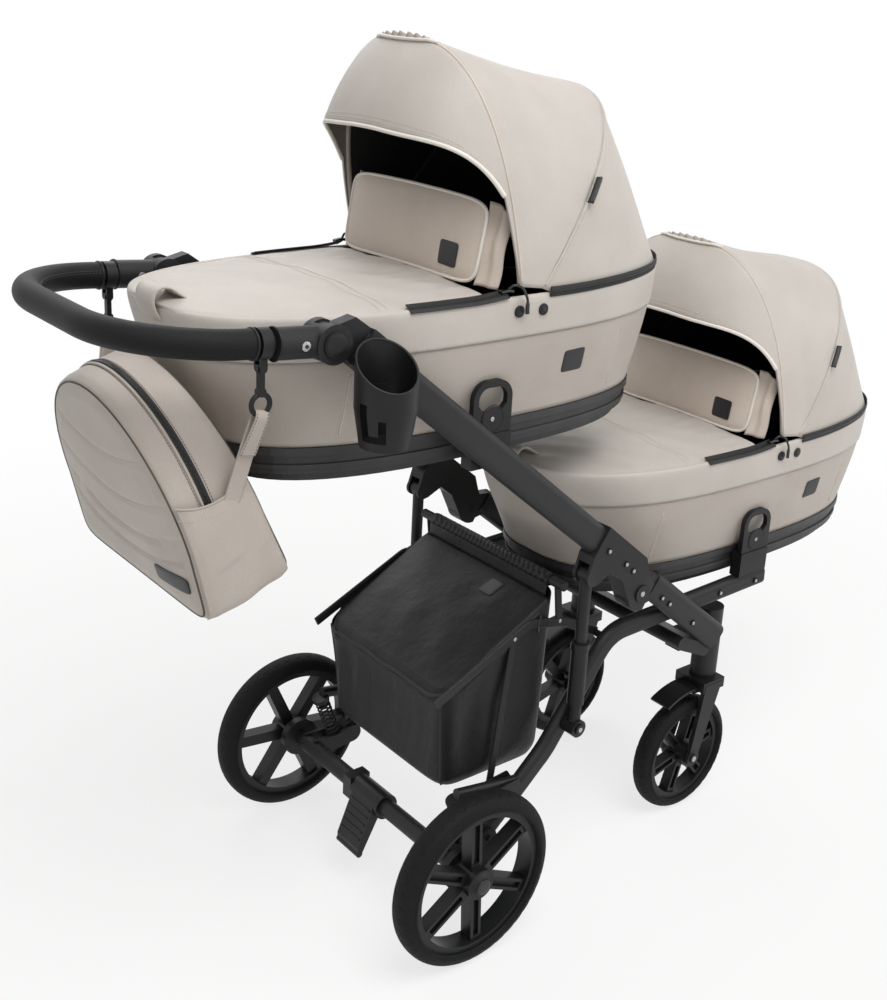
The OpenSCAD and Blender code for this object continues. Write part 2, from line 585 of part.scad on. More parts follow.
// basket under the upper cot
bs_x0 = 2;
bs_x1 = 240;
lid_hx = 229;
lid_hz = 548;
function lid_z(x) = lid_hz - 150 + (x - bs_x0)*0.56;
function bs_loop(i, f) = [for (p = loop(bs_x0 + 18*(1-f) + i, bs_x1 - 4*(1-f) - i, basket_hw - 10*(1-f) - i, 0, 6, 28))
  [p[0], p[1], basket_z + f*(lid_z(p[0]) - basket_z)]];
module basket() color(black) org()
  skin([bs_loop(8, 0), bs_loop(0, 0.08), bs_loop(0, 0.55), bs_loop(0, 1), bs_loop(4, 1), bs_loop(4, 0.55), bs_loop(4, 0.08),
    [for (p = bs_loop(12, 0)) [p[0], p[1], basket_z + 4]]]);
function lid_pt(u, v, o) = let (x = lid_hx - 11.4 - u*(lid_hx - 11.4 - bs_x0), y = (basket_hw - 1)*v)
  [x, y, lid_z(x) + part_gap + 9*(1 - v*v)*sin(180*min(1, u*1.1)*0.9 + 9) + o];
lid_v = [-1, -0.7, -0.35, 0, 0.35, 0.7, 1];
lid_u = [0, 0.15, 0.35, 0.6, 0.85, 1];
module basket_lid() color(black) org()
{
  sheet([for (u = lid_u) [for (v = lid_v) lid_pt(u, -v, 3)]], [for (u = lid_u) [for (v = lid_v) lid_pt(u, -v, 0)]]);
  difference() {
    ycyl(lid_hx, lid_hz, 11, -basket_hw + 12, basket_hw - 12);
    ycyl(lid_hx, lid_hz, 8 + run_gap, -basket_hw, basket_hw);
  }
}
fr_y = basket_hw + 3 + part_gap;
module basket_frame() color(dark) org() {
  ycyl(lid_hx, lid_hz, 8, -fr_y - 16, fr_y + 16);
  both() {
    bent([[-10, lid_hz - 144], [174, lid_hz - 57], [252, lid_hz - 74], [326, rail_z - 4]], [0, 30, 30], fr_y, 16, 6);
    flat_tube([238, lid_hz - 70], [lid_hx, lid_hz], fr_y, 14, 5);
    flat_tube([142, lid_hz - 74], [104, 176], fr_y, 14, 4.6);
    ycyl(105.5, 188, 6, fr_y, rail_in - 4 - seat_gap);
    ycyl(326, rail_z - 6, 6, fr_y, rail_in - seat_gap);
  }
}

// one cot
module ov(x0, x1, hw) polygon([for (p = loop(x0, x1, hw, 0, cot_p, 64)) [p[0], p[1]]]);
pf = cot_foot + 68;
ph = cot_head - 28;
module pan() difference() {
  translate([0, 0, cot_z]) {
    linear_extrude(16) ov(pf + 30, ph - 17, lip_hw - 20);
    translate([0, 0, 16]) linear_extrude(pan_h - 16) ov(pf + 8, ph - 6, lip_hw - 5);
    translate([0, 0, pan_h - 11]) linear_extrude(11) ov(pf, ph, lip_hw);
    translate([0, 0, 24]) linear_extrude(6) ov(pf + 5, ph - 3, lip_hw - 2.5);
  }
  translate([0, 0, cot_z + 8]) linear_extrude(pan_h) ov(pf + 38, ph - 25, lip_hw - 28);
}
function shell_loop(q, i) = loop(cot_foot + q[0] + i, cot_head - q[1] - i, cot_hw - q[2] - i, cot_z + q[3], cot_p, 32);
sh_q = [[70, 31, 28, pan_h + seat_gap], [50, 22, 22, 0.42*cot_h], [16, 7, 2, 0.77*cot_h], [3, 1, -1, 0.9*cot_h], [0, 0, 0, cot_h]];
module shell() skin(concat([for (q = sh_q) shell_loop(q, 0)], [for (k = [4, 2, 1, 0]) shell_loop(sh_q[k], wall)]), ring = true);
module mattress() {
  x0 = pf + 41;
  x1 = ph - 28;
  w = lip_hw - 31;
  z = cot_z + 8 + seat_gap;
  skin([loop(x0 + 8, x1 - 8, w - 8, z, 2.8, 32), loop(x0 + 2, x1 - 2, w - 2, z + 12, 2.8, 32),
    loop(x0 + 2, x1 - 2, w - 2, z + 38, 2.8, 32), loop(x0 + 22, x1 - 22, w - 22, z + 50, 2.7, 32),
    loop(x0 + 130, x1 - 130, w - 90, z + 54, 2.6, 32)]);
}
ap_a = [7, 14, 24, 36, 50, 66, 86];
ap_v = [-1, -0.86, -0.6, -0.3, 0, 0.3, 0.6, 0.86, 1];
function ap_pt(a, v, o) = let (x = cot_xc - cot_a*cos(a)*0.998 + (a == 86 ? flap_x - cot_xc + cot_a*cos(86)*0.998 : 0), h = rim_hw(x))
  [x, h*v, rim + seat_gap + o + crown*(1 - v*v)*sin(min(90, a*1.6))];
module apron() sheet([for (a = ap_a) [for (v = ap_v) ap_pt(a, v, ap_t)]], [for (a = ap_a) [for (v = ap_v) ap_pt(a, v, 0)]]);
// wind flap, standing at the edge of the apron
flap_y = [-1, -0.985, -0.82, -0.79, -0.5, 0, 0.5, 0.79, 0.82, 0.985, 1];
flap_dx = [26, 24, 4, 2, 0, 0, 0, 2, 4, 24, 26];
fl_w = bow_hw - 24;
module flap() {
  z0 = rim + seat_gap + ap_t + part_gap;
  zt = rim + 132;
  function fz(k, j) = let (v = flap_y[j], b = z0 + crown*(1 - pow(v*fl_w/cot_hw, 2)) + 0.5) b + (zt - b)*k;
  function fp(k, j, o) = [flap_x - 4 + flap_dx[j] + 20*k + o + (j > 2 && j < 8 ? -3*sin(180*k) : 0), fl_w*flap_y[j], fz(k, j)];
  sheet([for (k = [0, 0.25, 0.5, 0.75, 1]) [for (j = [0:10]) fp(k, 10 - j, 0)]],
    [for (k = [0, 0.25, 0.5, 0.75, 1]) [for (j = [0:10]) fp(k, 10 - j, 9)]]);
}
// hood, arches about the two side pivots
arch_a = [2.5, 5, 10, 17, 26, 37, 51, 69, 90];
arch_s = concat(arch_a, [for (k = [7:-1:0]) 180 - arch_a[k]]);
hood_c = [150, 0, rim + 30];
function inward(p, t) = p - t*unit(p - hood_c);
function arch(P, phi, a, R, w) = let (h = R*pow(sin(a), 2/bow_p))
  [P[0] + h*cos(phi), -w*sup(cos(a), bow_p), P[1] + h*sin(phi)];
function vis_len(a) = let (q = (a < 90 ? a : 180 - a)) 2 + (visor_a - 2)*pow(sin(min(90, max(0, q - 21)*1.41)), 0.89);
function vis_pt(a, t) = let (d = -1.5 + t*(vis_len(a) + 1.5), f = d/29)
  arch(bow1, bow_a1 + d, a, bow_r*(1 - 0.34*max(0, f) - 0.06*f*f), bow_hw);
vis_t = [0, 0.12, 0.35, 0.6, 0.82, 1];
function arm_row(s, k) = [for (t = vis_t) [piv1[0] - 10 + 18*(1-t) + k*cos(bow_a1), s*(cot_hw - wall - 3), piv1[1] + k*sin(bow_a1)]];
function arm_row_in(s, k) = [for (p = arm_row(s, k)) p - [0, s*hood_t, 0]];
vis_out = concat([arm_row(-1, -10), arm_row(-1, 24)], [for (a = arch_s) [for (t = vis_t) vis_pt(a, t)]], [arm_row(1, 24), arm_row(1, -10)]);
vis_in = concat([arm_row_in(-1, -10), arm_row_in(-1, 24)],
  [for (a = arch_s) [for (t = vis_t) inward(vis_pt(a, t), hood_t)]], [arm_row_in(1, 24), arm_row_in(1, -10)]);
module visor() sheet(vis_in, vis_out);
hood_k = [0, 0.12, 0.35, 0.65, 0.9, 1];
function hood_pt(a, t) = let (A = arch(bow1, bow_a1 - 1.7, a, bow_r, bow_hw), B = arch(bow2, bow_a2 + 0.3, a, bow_r, bow_hw),
  p = A + (B - A)*t) p - (6*sin(a)*sin(180*t))*unit(p - hood_c);
module hood() sheet([for (a = arch_s) [for (t = hood_k) hood_pt(a, t)]],
  [for (a = arch_s) [for (t = hood_k) inward(hood_pt(a, t), hood_t)]]);
back_t = [0, 0.2, 0.45, 0.75, 1];
function back_pt(i, t) = let (a = arch_s[i], b = 83*(1 - i/8), A = arch(bow2, bow_a2, a, bow_r, bow_hw),
  B = [cot_xc + cot_a*sup(cos(b), cot_p), -cot_hw*sup(sin(b), cot_p), rim + seat_gap], q = A + (B - A)*t,
  w = pow(sin(a), 0.6)) q + 6*w*sin(180*t)*unit(q - hood_c);
function back_in(i, t) = let (p = back_pt(i, t), u = unit((p - hood_c) - [0, 0, t > 0.99 ? (p - hood_c)[2] : 0])) p - hood_t*u;
module hood_back() sheet([for (i = [0:16]) [for (t = back_t) back_pt(i, t)]], [for (i = [0:16]) [for (t = back_t) back_in(i, t)]]);
// carry loops that drop into the frame sockets, and the hood studs
module fittings() both() {
  y0 = lip_hw + seat_gap;
  y1 = lip_hw + 6 + part_gap;
  y2 = tube_in - 6 - part_gap;
  y3 = lip_hw + 14;
  y4 = tube_in - 1.5;
  difference() {
    union() {
      box(ad_x - 20 + part_gap, ad_x + 20 - part_gap, y1, y2, ad_z - 30, ad_z + 8);
      box(ad_x - 35.8, ad_x + 35.8, y3, y4, ad_z + part_gap, ad_z + 51);
      for (x = [-8, 8]) ycyl(ad_x + x, ad_z + 51, 28, y3, y4);
      box(ad_x - 8, ad_x + 8, y3, y4, ad_z + 40, ad_z + 78.8);
      box(ad_x - 24, ad_x + 24, y0, y3 + 1, ad_z + part_gap, cot_z + pan_h + 1);
    }
    box(ad_x - 26, ad_x + 26, y3 - 1, y4 + 1, ad_z + 43, ad_z + 51.5);
    for (x = [-8.3, 8.3]) ycyl(ad_x + x, ad_z + 51.2, 18, y3 - 1, y4 + 1);
    box(ad_x - 8, ad_x + 8, y3 - 1, y4 + 1, ad_z + 44, ad_z + 69);
  }
  for (p = [piv1, piv2]) ycyl(p[0], p[1], 5, stud_y(p[0]), stud_y(p[0]) + 2.6);
}
module upper_pan() color(black) org() pan();
module upper_shell() color(cloth) org() shell();
module upper_mattress() color(taupe) org() mattress();
module upper_apron() color(cloth) org() apron();
module upper_flap() color(taupe) org() flap();
module upper_visor() color(cloth) org() visor();
module upper_hood() color(cloth) org() hood();
module upper_hood_back() color(cloth) org() hood_back();
module upper_fittings() color(black) org() fittings();
module lower_pan() color(black) org() lower() pan();
module lower_shell() color(cloth) org() lower() shell();
module lower_mattress() color(taupe) org() lower() mattress();
module lower_apron() color(cloth) org() lower() apron();
module lower_flap() color(taupe) org() lower() flap();
module lower_visor() color(cloth) org() lower() visor();
module lower_hood() color(cloth) org() lower() hood();
module lower_hood_back() color(cloth) org() lower() hood_back();
module lower_fittings() color(black) org() lower() fittings();

side_rail_right();
side_rail_left();
front_tube_right();
front_tube_left();
front_beam();
frame_rivets();
fold_pins();
strut_sleeves();
strut_rods();
basket_frame();
basket();
basket_lid();
front_adapters();
axle_brackets();
rear_axle();
axle_springs();
brake_pedal();
rear_tyre_right();
rear_tyre_left();
rear_rim_right();
rear_rim_left();
front_tyre_right();
front_tyre_left();
front_rim_right();
front_rim_left();
front_fork_right();
front_fork_left();
upper_tube_right();
upper_tube_left();
fold_brackets();
upper_adapters();
handle_hubs();
cup_holder();
handlebar();
grip();
handle_joints();
hanger_bands();
snap_hooks();
bag();
bag_straps();
upper_pan();
upper_shell();
upper_mattress();
upper_apron();
upper_flap();
upper_visor();
upper_hood();
upper_hood_back();
upper_fittings();
lower_pan();
lower_shell();
lower_mattress();
lower_apron();
lower_flap();
lower_visor();
lower_hood();
lower_hood_back();
lower_fittings();
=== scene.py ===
# %% [markdown]
# # A twin pram, dressed on its frame
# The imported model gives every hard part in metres, with +X the way the pram travels and Z up.
# This lesson puts soft goods, trim and finishes on it. Each step says what the piece is on the
# real pram, how it could be made, and why it is made the way it is here.

# %% load the frame
import math
import bpy
import numpy as np
from mathutils import Matrix, Vector


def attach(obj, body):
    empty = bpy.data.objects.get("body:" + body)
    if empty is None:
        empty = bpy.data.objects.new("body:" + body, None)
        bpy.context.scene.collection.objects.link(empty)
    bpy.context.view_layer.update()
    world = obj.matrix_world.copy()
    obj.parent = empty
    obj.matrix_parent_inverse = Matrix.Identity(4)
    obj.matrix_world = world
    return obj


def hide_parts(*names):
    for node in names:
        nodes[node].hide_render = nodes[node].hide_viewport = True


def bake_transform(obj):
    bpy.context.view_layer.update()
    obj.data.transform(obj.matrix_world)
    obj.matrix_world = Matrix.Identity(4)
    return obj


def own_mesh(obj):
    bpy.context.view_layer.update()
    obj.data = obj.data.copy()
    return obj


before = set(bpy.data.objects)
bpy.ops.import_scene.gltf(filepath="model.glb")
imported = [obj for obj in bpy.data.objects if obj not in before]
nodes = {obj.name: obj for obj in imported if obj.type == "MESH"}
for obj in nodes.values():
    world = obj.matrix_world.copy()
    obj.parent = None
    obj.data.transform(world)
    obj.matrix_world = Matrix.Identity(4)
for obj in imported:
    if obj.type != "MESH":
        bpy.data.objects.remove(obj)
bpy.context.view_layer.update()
REAR = 0.295

# %% [markdown]
# ## Camera
# The photograph was solved as a pinhole camera: where it stands, which way it looks, its small roll
# and the point its axis meets the picture. A shift of the lens places that point, so that lines in
# the render fall on the same lines of the photograph. All numbers are for a picture of 887 by 1000.

# %% camera
EYE = Vector((-1.4604, -1.5555, 1.4567))
YAW = math.radians(50.735)
PITCH = math.radians(18.889)
ROLL = math.radians(2.902)
FOCAL_PX = 1341.55
PICTURE = (887, 1000)
SENSOR_MM = 36.0
AXIS_PX = (440.05, 436.07)
ahead = Vector((math.cos(PITCH)*math.cos(YAW), math.cos(PITCH)*math.sin(YAW), -math.sin(PITCH)))
level = ahead.cross(Vector((0, 0, 1))).normalized()
upward = level.cross(ahead)
right = level*math.cos(ROLL) + upward*math.sin(ROLL)
up = upward*math.cos(ROLL) - level*math.sin(ROLL)
lens = bpy.data.cameras.new("camera")
lens.sensor_width = SENSOR_MM
lens.lens = FOCAL_PX/PICTURE[1]*SENSOR_MM
lens.shift_x = (PICTURE[0]/2 - AXIS_PX[0])/PICTURE[1]
lens.shift_y = (AXIS_PX[1] - PICTURE[1]/2)/PICTURE[1]
lens.clip_start = 0.05
camera = bpy.data.objects.new("camera", lens)
camera.matrix_world = Matrix((
    (right.x, up.x, -ahead.x, EYE.x),
    (right.y, up.y, -ahead.y, EYE.y),
    (right.z, up.z, -ahead.z, EYE.z),
    (0, 0, 0, 1)))
bpy.context.scene.collection.objects.link(camera)
bpy.context.scene.camera = camera
print("camera lens", round(lens.lens, 2), "mm")

# %% [markdown]
# ## Socket arithmetic
# A material is a network of nodes. Writing it as arithmetic keeps it readable, so one small class
# wraps an output socket: plus, minus and times on it add Math nodes, also where a number comes
# first, and one method adds any other node with its settings and links.

# %% socket class
class Sock:
    """An output socket of a material's node tree, on which Python's operators add Math nodes."""

    def __init__(self, tree, out):
        self.tree = tree
        self.out = out

    def node(self, kind, settings=None, want=0, **links):
        """Adds a node of a type, sets its settings first, then the values or links of its sockets.
        A socket is named as on the node with _ for a space, or in_0, in_1 for its number."""
        made = self.tree.nodes.new("ShaderNode" + kind)
        for key, value in (settings or {}).items():
            setattr(made, key, value)
        for key, value in links.items():
            name = int(key[3:]) if key.startswith("in_") else key.replace("_", " ")
            if isinstance(value, Sock):
                self.tree.links.new(value.out, made.inputs[name])
            else:
                made.inputs[name].default_value = value
        return Sock(self.tree, made.outputs[want])

    def maths(self, operation, *others):
        """A Math node whose first value is this socket."""
        links = {"in_%d" % (k + 1): other for k, other in enumerate(others)}
        return self.node("Math", {"operation": operation}, in_0=self, **links)

    def __add__(self, other):
        return self.maths("ADD", other)

    def __sub__(self, other):
        return self.maths("SUBTRACT", other)

    def __mul__(self, other):
        return self.maths("MULTIPLY", other)

    def __rsub__(self, other):
        return (self*-1.0).maths("ADD", other)

    __radd__ = __add__
    __rmul__ = __mul__

    def over(self, low, high):
        """A smooth step: 0 below low, 1 above high."""
        smooth = {"interpolation_type": "SMOOTHSTEP"}
        return self.node("MapRange", smooth, Value=self, From_Min=low, From_Max=high)

    def blend(self, first, second):
        """The first colour where this mask is 0 and the second where it is 1."""
        return self.node("Mix", {"data_type": "RGBA"}, want=2, in_0=self, in_6=first, in_7=second)


print("socket class ready")

# %% [markdown]
# ## Studio
# The product stands in an even white studio. A large plane is the floor, a wide soft lamp above the
# camera is the key, weaker ones fill from the right and from behind, and the world lights the rest. The
# floor and the world show nearly white to the camera and in reflections, but the floor keeps a shadow.

# %% floor, world and lamps
def colour(text):
    """A written sRGB colour, such as cdc6be, as linear light: each channel is raised by the sRGB curve."""
    part = np.array([int(text[k:k + 2], 16) for k in (0, 2, 4)])/255
    line = np.where(part <= 0.04045, part/12.92, ((part + 0.055)/1.055)**2.4)
    return (*[float(v) for v in line], 1.0)


def seen_directly(first):
    """1 for camera, mirror and glass rays, 0 for the rays that light the object."""
    rays = [first.node("LightPath", want=k) for k in (0, 3, 6)]
    return rays[0].maths("MAXIMUM", rays[1]).maths("MAXIMUM", rays[2])


def open_tree(owner):
    """An empty node tree of a material or a world, as a socket to start from, and its output node."""
    owner.use_nodes = True
    owner.node_tree.nodes.clear()
    kind = "ShaderNodeOutputWorld" if isinstance(owner, bpy.types.World) else "ShaderNodeOutputMaterial"
    return Sock(owner.node_tree, None), owner.node_tree.nodes.new(kind)


FLOOR_HALF = 9.0
LAMP_AIM = Vector((0.1, 0.0, 0.7))
floor_mesh = bpy.data.meshes.new("floor")
floor_corners = [(x*FLOOR_HALF, y*FLOOR_HALF, 0.0) for x, y in ((-1, -1), (1, -1), (1, 1), (-1, 1))]
floor_mesh.from_pydata(floor_corners, [], [(0, 1, 2, 3)])
floor = bpy.data.objects.new("floor", floor_mesh)
bpy.context.scene.collection.objects.link(floor)
paper = bpy.data.materials.new("studio_paper")
first, last = open_tree(paper)
shade = first.node("BsdfDiffuse", Color=colour("f4f4f3"))
glow = first.node("Emission", Color=(1, 1, 1, 1), Strength=1.0)
spot = first.node("TexCoord", want=3)
away_ = first.node("VectorMath", {"operation": "LENGTH"}, want=1, in_0=spot)
share = away_.over(1.1, 2.6)*0.26 + 0.74
mixed = first.node("MixShader", in_0=seen_directly(first)*share, in_1=shade, in_2=glow)
paper.node_tree.links.new(mixed.out, last.inputs["Surface"])
floor_mesh.materials.append(paper)

world = bpy.data.worlds.new("studio_world")
bpy.context.scene.world = world
first, last = open_tree(world)
shown = first.node("Background", Color=(1, 1, 1, 1), Strength=1.0)
lighting = first.node("Background", Color=(1.0, 0.99, 0.98, 1), Strength=0.40)
mixed = first.node("MixShader", in_0=seen_directly(first), in_1=lighting, in_2=shown)
world.node_tree.links.new(mixed.out, last.inputs["Surface"])


def lamp(name, place, size, power):
    """A square area lamp at a place, turned to look at a point of the pram."""
    data = bpy.data.lights.new(name, "AREA")
    data.size = size
    data.energy = power
    thing = bpy.data.objects.new(name, data)
    thing.location = place
    thing.rotation_euler = (LAMP_AIM - Vector(place)).to_track_quat("-Z", "Y").to_euler()
    bpy.context.scene.collection.objects.link(thing)


lamp("key", (-0.6, -1.9, 4.4), 2.6, 118)
lamp("fill", (2.8, -2.6, 2.4), 2.4, 30)
lamp("back", (0.5, 3.2, 3.4), 2.4, 34)
bpy.context.scene.view_settings.view_transform = "Standard"
print("studio ready")

# %% [markdown]
# ## Surfaces from arrays
# Soft goods are smooth sheets and trim is a section carried along a line, so every new piece is a
# grid of points worked out with numpy. One helper turns a grid into a mesh, another carries a
# section along a path, and a third scatters a small shape, such as a stitch, along a path.

# %% grid to mesh
MATERIALS = {}
GRIDS = {}


def piece(name, points, faces, finish, uv=None, lids=(), flat=False, body=None, slot=None, away=None):
    """A mesh object from a point array, a face array and many-sided lids, which may be flat. Faces are
    turned to look away from a point if one is given: where the mean of normal times direction is
    negative, all faces are reversed."""
    points = np.asarray(points, float).reshape(-1, 3)
    faces = np.asarray(faces)
    if away is not None:
        a, b, c = (points[faces[:, k]] for k in (0, 1, 2))
        outward = (np.cross(b - a, c - a)*((a + c)/2 - np.asarray(away))).sum()
        if outward < 0:
            faces = faces[:, ::-1]
            uv = uv[:, ::-1] if uv is not None else None
    mesh = bpy.data.meshes.new(name)
    mesh.from_pydata(points.tolist(), [], faces.tolist() + list(lids))
    smooth = np.ones(len(mesh.polygons), bool)
    smooth[len(faces):] = not flat
    mesh.polygons.foreach_set("use_smooth", smooth)
    if uv is not None:
        spare = np.zeros((sum(len(lid) for lid in lids), 2))
        corners = np.concatenate([uv.reshape(-1, 2), spare])
        mesh.uv_layers.new(name="cloth").data.foreach_set("uv", corners.astype(np.float32).ravel())
    thing = bpy.data.objects.new(name, mesh)
    bpy.context.scene.collection.objects.link(thing)
    mesh.materials.append(MATERIALS[finish])
    if body:
        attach(thing, body)
    return thing


def grid_faces(rows, cols, ring_rows=False, ring_cols=False):
    """Corner numbers of the quads of a grid; a ring joins the last row or column to the first."""
    tall, wide = np.arange(rows - (not ring_rows)), np.arange(cols - (not ring_cols))
    i, j = crossed(tall, wide)
    i2, j2 = (i + 1) % rows, (j + 1) % cols
    return np.stack([i*cols + j, i*cols + j2, i2*cols + j2, i2*cols + j], -1).reshape(-1, 4)


def grid_uv(P, ring_rows=False, ring_cols=False):
    """Distances along the columns and rows of a grid in metres, one pair for each face corner."""
    wide = np.concatenate([P, P[:, :1]], 1) if ring_cols else P
    tall = np.concatenate([P, P[:1]], 0) if ring_rows else P
    u = np.linalg.norm(np.diff(wide, axis=1), axis=2).mean(0)
    v = np.linalg.norm(np.diff(tall, axis=0), axis=2).mean(1)
    u = np.concatenate([[0], np.cumsum(u)])
    v = np.concatenate([[0], np.cumsum(v)])
    a, b = crossed(np.arange(len(v) - 1), np.arange(len(u) - 1))
    corner = [(a, b), (a, b + 1), (a + 1, b + 1), (a + 1, b)]
    return np.stack([np.stack([u[q], v[p]], -1) for p, q in corner], 2).reshape(-1, 4, 2)


def end_lids(P):
    """The two many-sided faces that close a tube of points at its first and last row."""
    rows, cols = P.shape[:2]
    return [list(range(cols))[::-1], [(rows - 1)*cols + k for k in range(cols)]]


def surface(name, P, ring_rows=False, ring_cols=False, **how):
    """A piece from a grid of points with shape (rows, columns, 3). The grid is kept, to measure later."""
    P = np.asarray(P, float)
    GRIDS[name] = (P, ring_cols)
    faces = grid_faces(P.shape[0], P.shape[1], ring_rows, ring_cols)
    return piece(name, P, faces, uv=grid_uv(P, ring_rows, ring_cols), **how)


def cut(P, ring=False):
    """The cloth a sheet is cut from: the longest column and row of its grid, and the area of its quads."""
    P = np.concatenate([P, P[:, :1]], 1) if ring else P
    wide = np.linalg.norm(np.diff(P, axis=1), axis=2).sum(1).max()
    tall = np.linalg.norm(np.diff(P, axis=0), axis=2).sum(0).max()
    quads = np.cross(P[1:, 1:] - P[:-1, :-1], P[:-1, 1:] - P[1:, :-1])
    area = 0.5*np.linalg.norm(quads, axis=2).sum()
    return (float(wide), float(tall)), float(min(area, wide*tall))


def wall(thing, thickness, offset=-1.0, lining=None):
    """Gives a sheet its thickness, inwards from the side that its faces look to, and maybe a lining."""
    solid = thing.modifiers.new("wall", "SOLIDIFY")
    solid.thickness = thickness
    solid.offset = offset
    solid.use_quality_normals = True
    if lining:
        thing.data.materials.append(MATERIALS[lining])
        solid.material_offset = 1


print("grid helpers ready")

# %% paths and sections
CUT_CORNER = 0.3
BLOCK_FACES = [(0, 1, 2, 3), (4, 7, 6, 5), (0, 4, 5, 1), (1, 5, 6, 2), (2, 6, 7, 3), (3, 7, 4, 0)]


def sup(c, p):
    """The superellipse power: the sign of c times its size to the power 2/p."""
    return np.sign(c)*np.abs(c)**(2/p)


def unit(v):
    """Vectors divided by their own length."""
    return v/np.maximum(np.linalg.norm(v, axis=-1, keepdims=True), 1e-12)


def xyz(x, y, z):
    """Points from their three coordinates, each an array or one number for all the points."""
    return np.stack(np.broadcast_arrays(x, y, z), -1)


def turns(count):
    """Angles at equal steps round a full turn."""
    return np.linspace(0, 2*np.pi, count, endpoint=False)


def crossed(down, across):
    """Two lists of values as two grids, the first running down and the second across."""
    return np.meshgrid(down, across, indexing="ij")


def walked(path):
    """The distance walked along a path at each of its points."""
    return np.concatenate([[0], np.cumsum(np.linalg.norm(np.diff(path, axis=0), axis=1))])


def even(path, values, count):
    """Values, such as angles, picked at equal distances round a path that ends where it starts."""
    far = walked(path)
    return np.interp(np.linspace(0, far[-1], count, endpoint=False), far, values)


def curve(points, count, closed=False):
    """Evenly spaced points on a smooth line through a few: Catmull-Rom cubics, each a blend of four
    neighbours, sampled finely and then picked again at equal distances."""
    P = np.asarray(points, float)
    n = len(P)
    if closed:
        ends = P[np.arange(-1, n + 2) % n]
    else:
        ends = np.concatenate([[2*P[0] - P[1]], P, [2*P[-1] - P[-2]]])
    spans = n if closed else n - 1
    t = np.linspace(0, 1, 24, endpoint=False)[None, :, None]
    a, b, c, d = (ends[k:k + spans][:, None, :] for k in range(4))
    fine = 0.5*(2*b + (c - a)*t + (2*a - 5*b + 4*c - d)*t**2 + (3*b - a - 3*c + d)*t**3)
    fine = np.concatenate([fine.reshape(-1, P.shape[1]), P[:1] if closed else P[-1:]])
    s = walked(fine)
    want = np.linspace(0, s[-1], count + closed)[:count]
    return np.stack([np.interp(want, s, fine[:, k]) for k in range(P.shape[1])], -1)


def along(path, closed=False):
    """The unit direction of travel at each point of a path, from its neighbours on both sides."""
    if closed:
        return unit(np.roll(path, -1, 0) - np.roll(path, 1, 0))
    return unit(np.gradient(path, axis=0))


def matched(vectors, count):
    """Vectors picked again at evenly spaced places, so that they fit a path of another count."""
    vectors = np.atleast_2d(np.asarray(vectors, float))
    have, want = np.linspace(0, 1, len(vectors)), np.linspace(0, 1, count)
    return np.stack([np.interp(want, have, vectors[:, k]) for k in range(3)], -1)


def square(out, ahead_):
    """Unit vectors as near to out as they can be while square to the way ahead."""
    return unit(out - ahead_*(out*ahead_).sum(1, keepdims=True))


def sweep(name, path, section, normal, closed=False, **how):
    """A section carried along a path. Section points are (across, out): out follows the normal given
    at each path point, made square to the travel, and across is travel times out."""
    path = np.asarray(path, float)
    ahead_ = along(path, closed)
    out = square(matched(normal, len(path)), ahead_)
    side = np.cross(ahead_, out)
    P = path[:, None] + side[:, None]*section[None, :, :1] + out[:, None]*section[None, :, 1:]
    made = piece(name, P, grid_faces(*P.shape[:2], closed, True), uv=grid_uv(P, closed, True),
                 lids=[] if closed else end_lids(P), flat=True, **how)
    turn_out(made)
    return made


def cord(name, path, radius, normal, finish, body, count=0, sides=8, squash=1.0, closed=False):
    """A round section swept along a path, which is first picked again at count even places."""
    path = curve(path, count, closed) if count else path
    sweep(name, path, ring(radius, sides, squash), normal, closed=closed, finish=finish, body=body)


def turn_out(thing):
    """Recalculates normals of a closed shape so that they point outwards: the signed volume, a sixth
    of the sum of triple products, is positive then."""
    mesh = thing.data
    mesh.calc_loop_triangles()
    tri = np.zeros(len(mesh.loop_triangles)*3, np.int32)
    mesh.loop_triangles.foreach_get("vertices", tri)
    co = np.zeros(len(mesh.vertices)*3)
    mesh.vertices.foreach_get("co", co)
    a, b, c = (co.reshape(-1, 3)[tri.reshape(-1, 3)[:, k]] for k in range(3))
    if (a*np.cross(b, c)).sum() < 0:
        mesh.flip_normals()


def ring(radius, sides=10, squash=1.0):
    """A round section, flattened along its out direction by squash."""
    a = turns(sides)
    return np.stack([np.cos(a)*radius, np.sin(a)*radius*squash], -1)


def flat_section(width, thickness):
    """A ribbon's section: a rectangle whose four corners are cut by a share of the thickness."""
    w, t, c = width/2, thickness/2, thickness*CUT_CORNER
    half = np.array([(w, -t + c), (w, t - c), (w - c, t), (-w + c, t)])
    return np.concatenate([half, -half])


def block(x, y, z, taper=(1.0, 1.0)):
    """Corners of a small bar with half sizes x, y and z, whose upper face is drawn in by two shares."""
    low = np.array([(-x, -y, -z), (-x, y, -z), (x, y, -z), (x, -y, -z)])
    return np.concatenate([low, low*(*taper, -1.0)])


def spaced(path, normal, pitch):
    """Places along a path at a pitch, with the way ahead and the way out at each of them."""
    path = np.asarray(path, float)
    places = curve(path, max(4, int(walked(path)[-1]/pitch)))
    ahead_ = along(places)
    return places, ahead_, square(matched(normal, len(places)), ahead_)


def scatter(name, places, ahead_, out, shape, **how):
    """Copies of a small block at places: its X runs ahead, its Z out, and its Y across."""
    axes = np.stack([ahead_, np.cross(out, ahead_), out], 1)
    P = places[:, None] + np.einsum("vk,nkd->nvd", shape, axes)
    shift = (np.arange(len(places))*len(shape))[:, None, None]
    piece(name, P, (np.array(BLOCK_FACES)[None] + shift).reshape(-1, 4), **how)


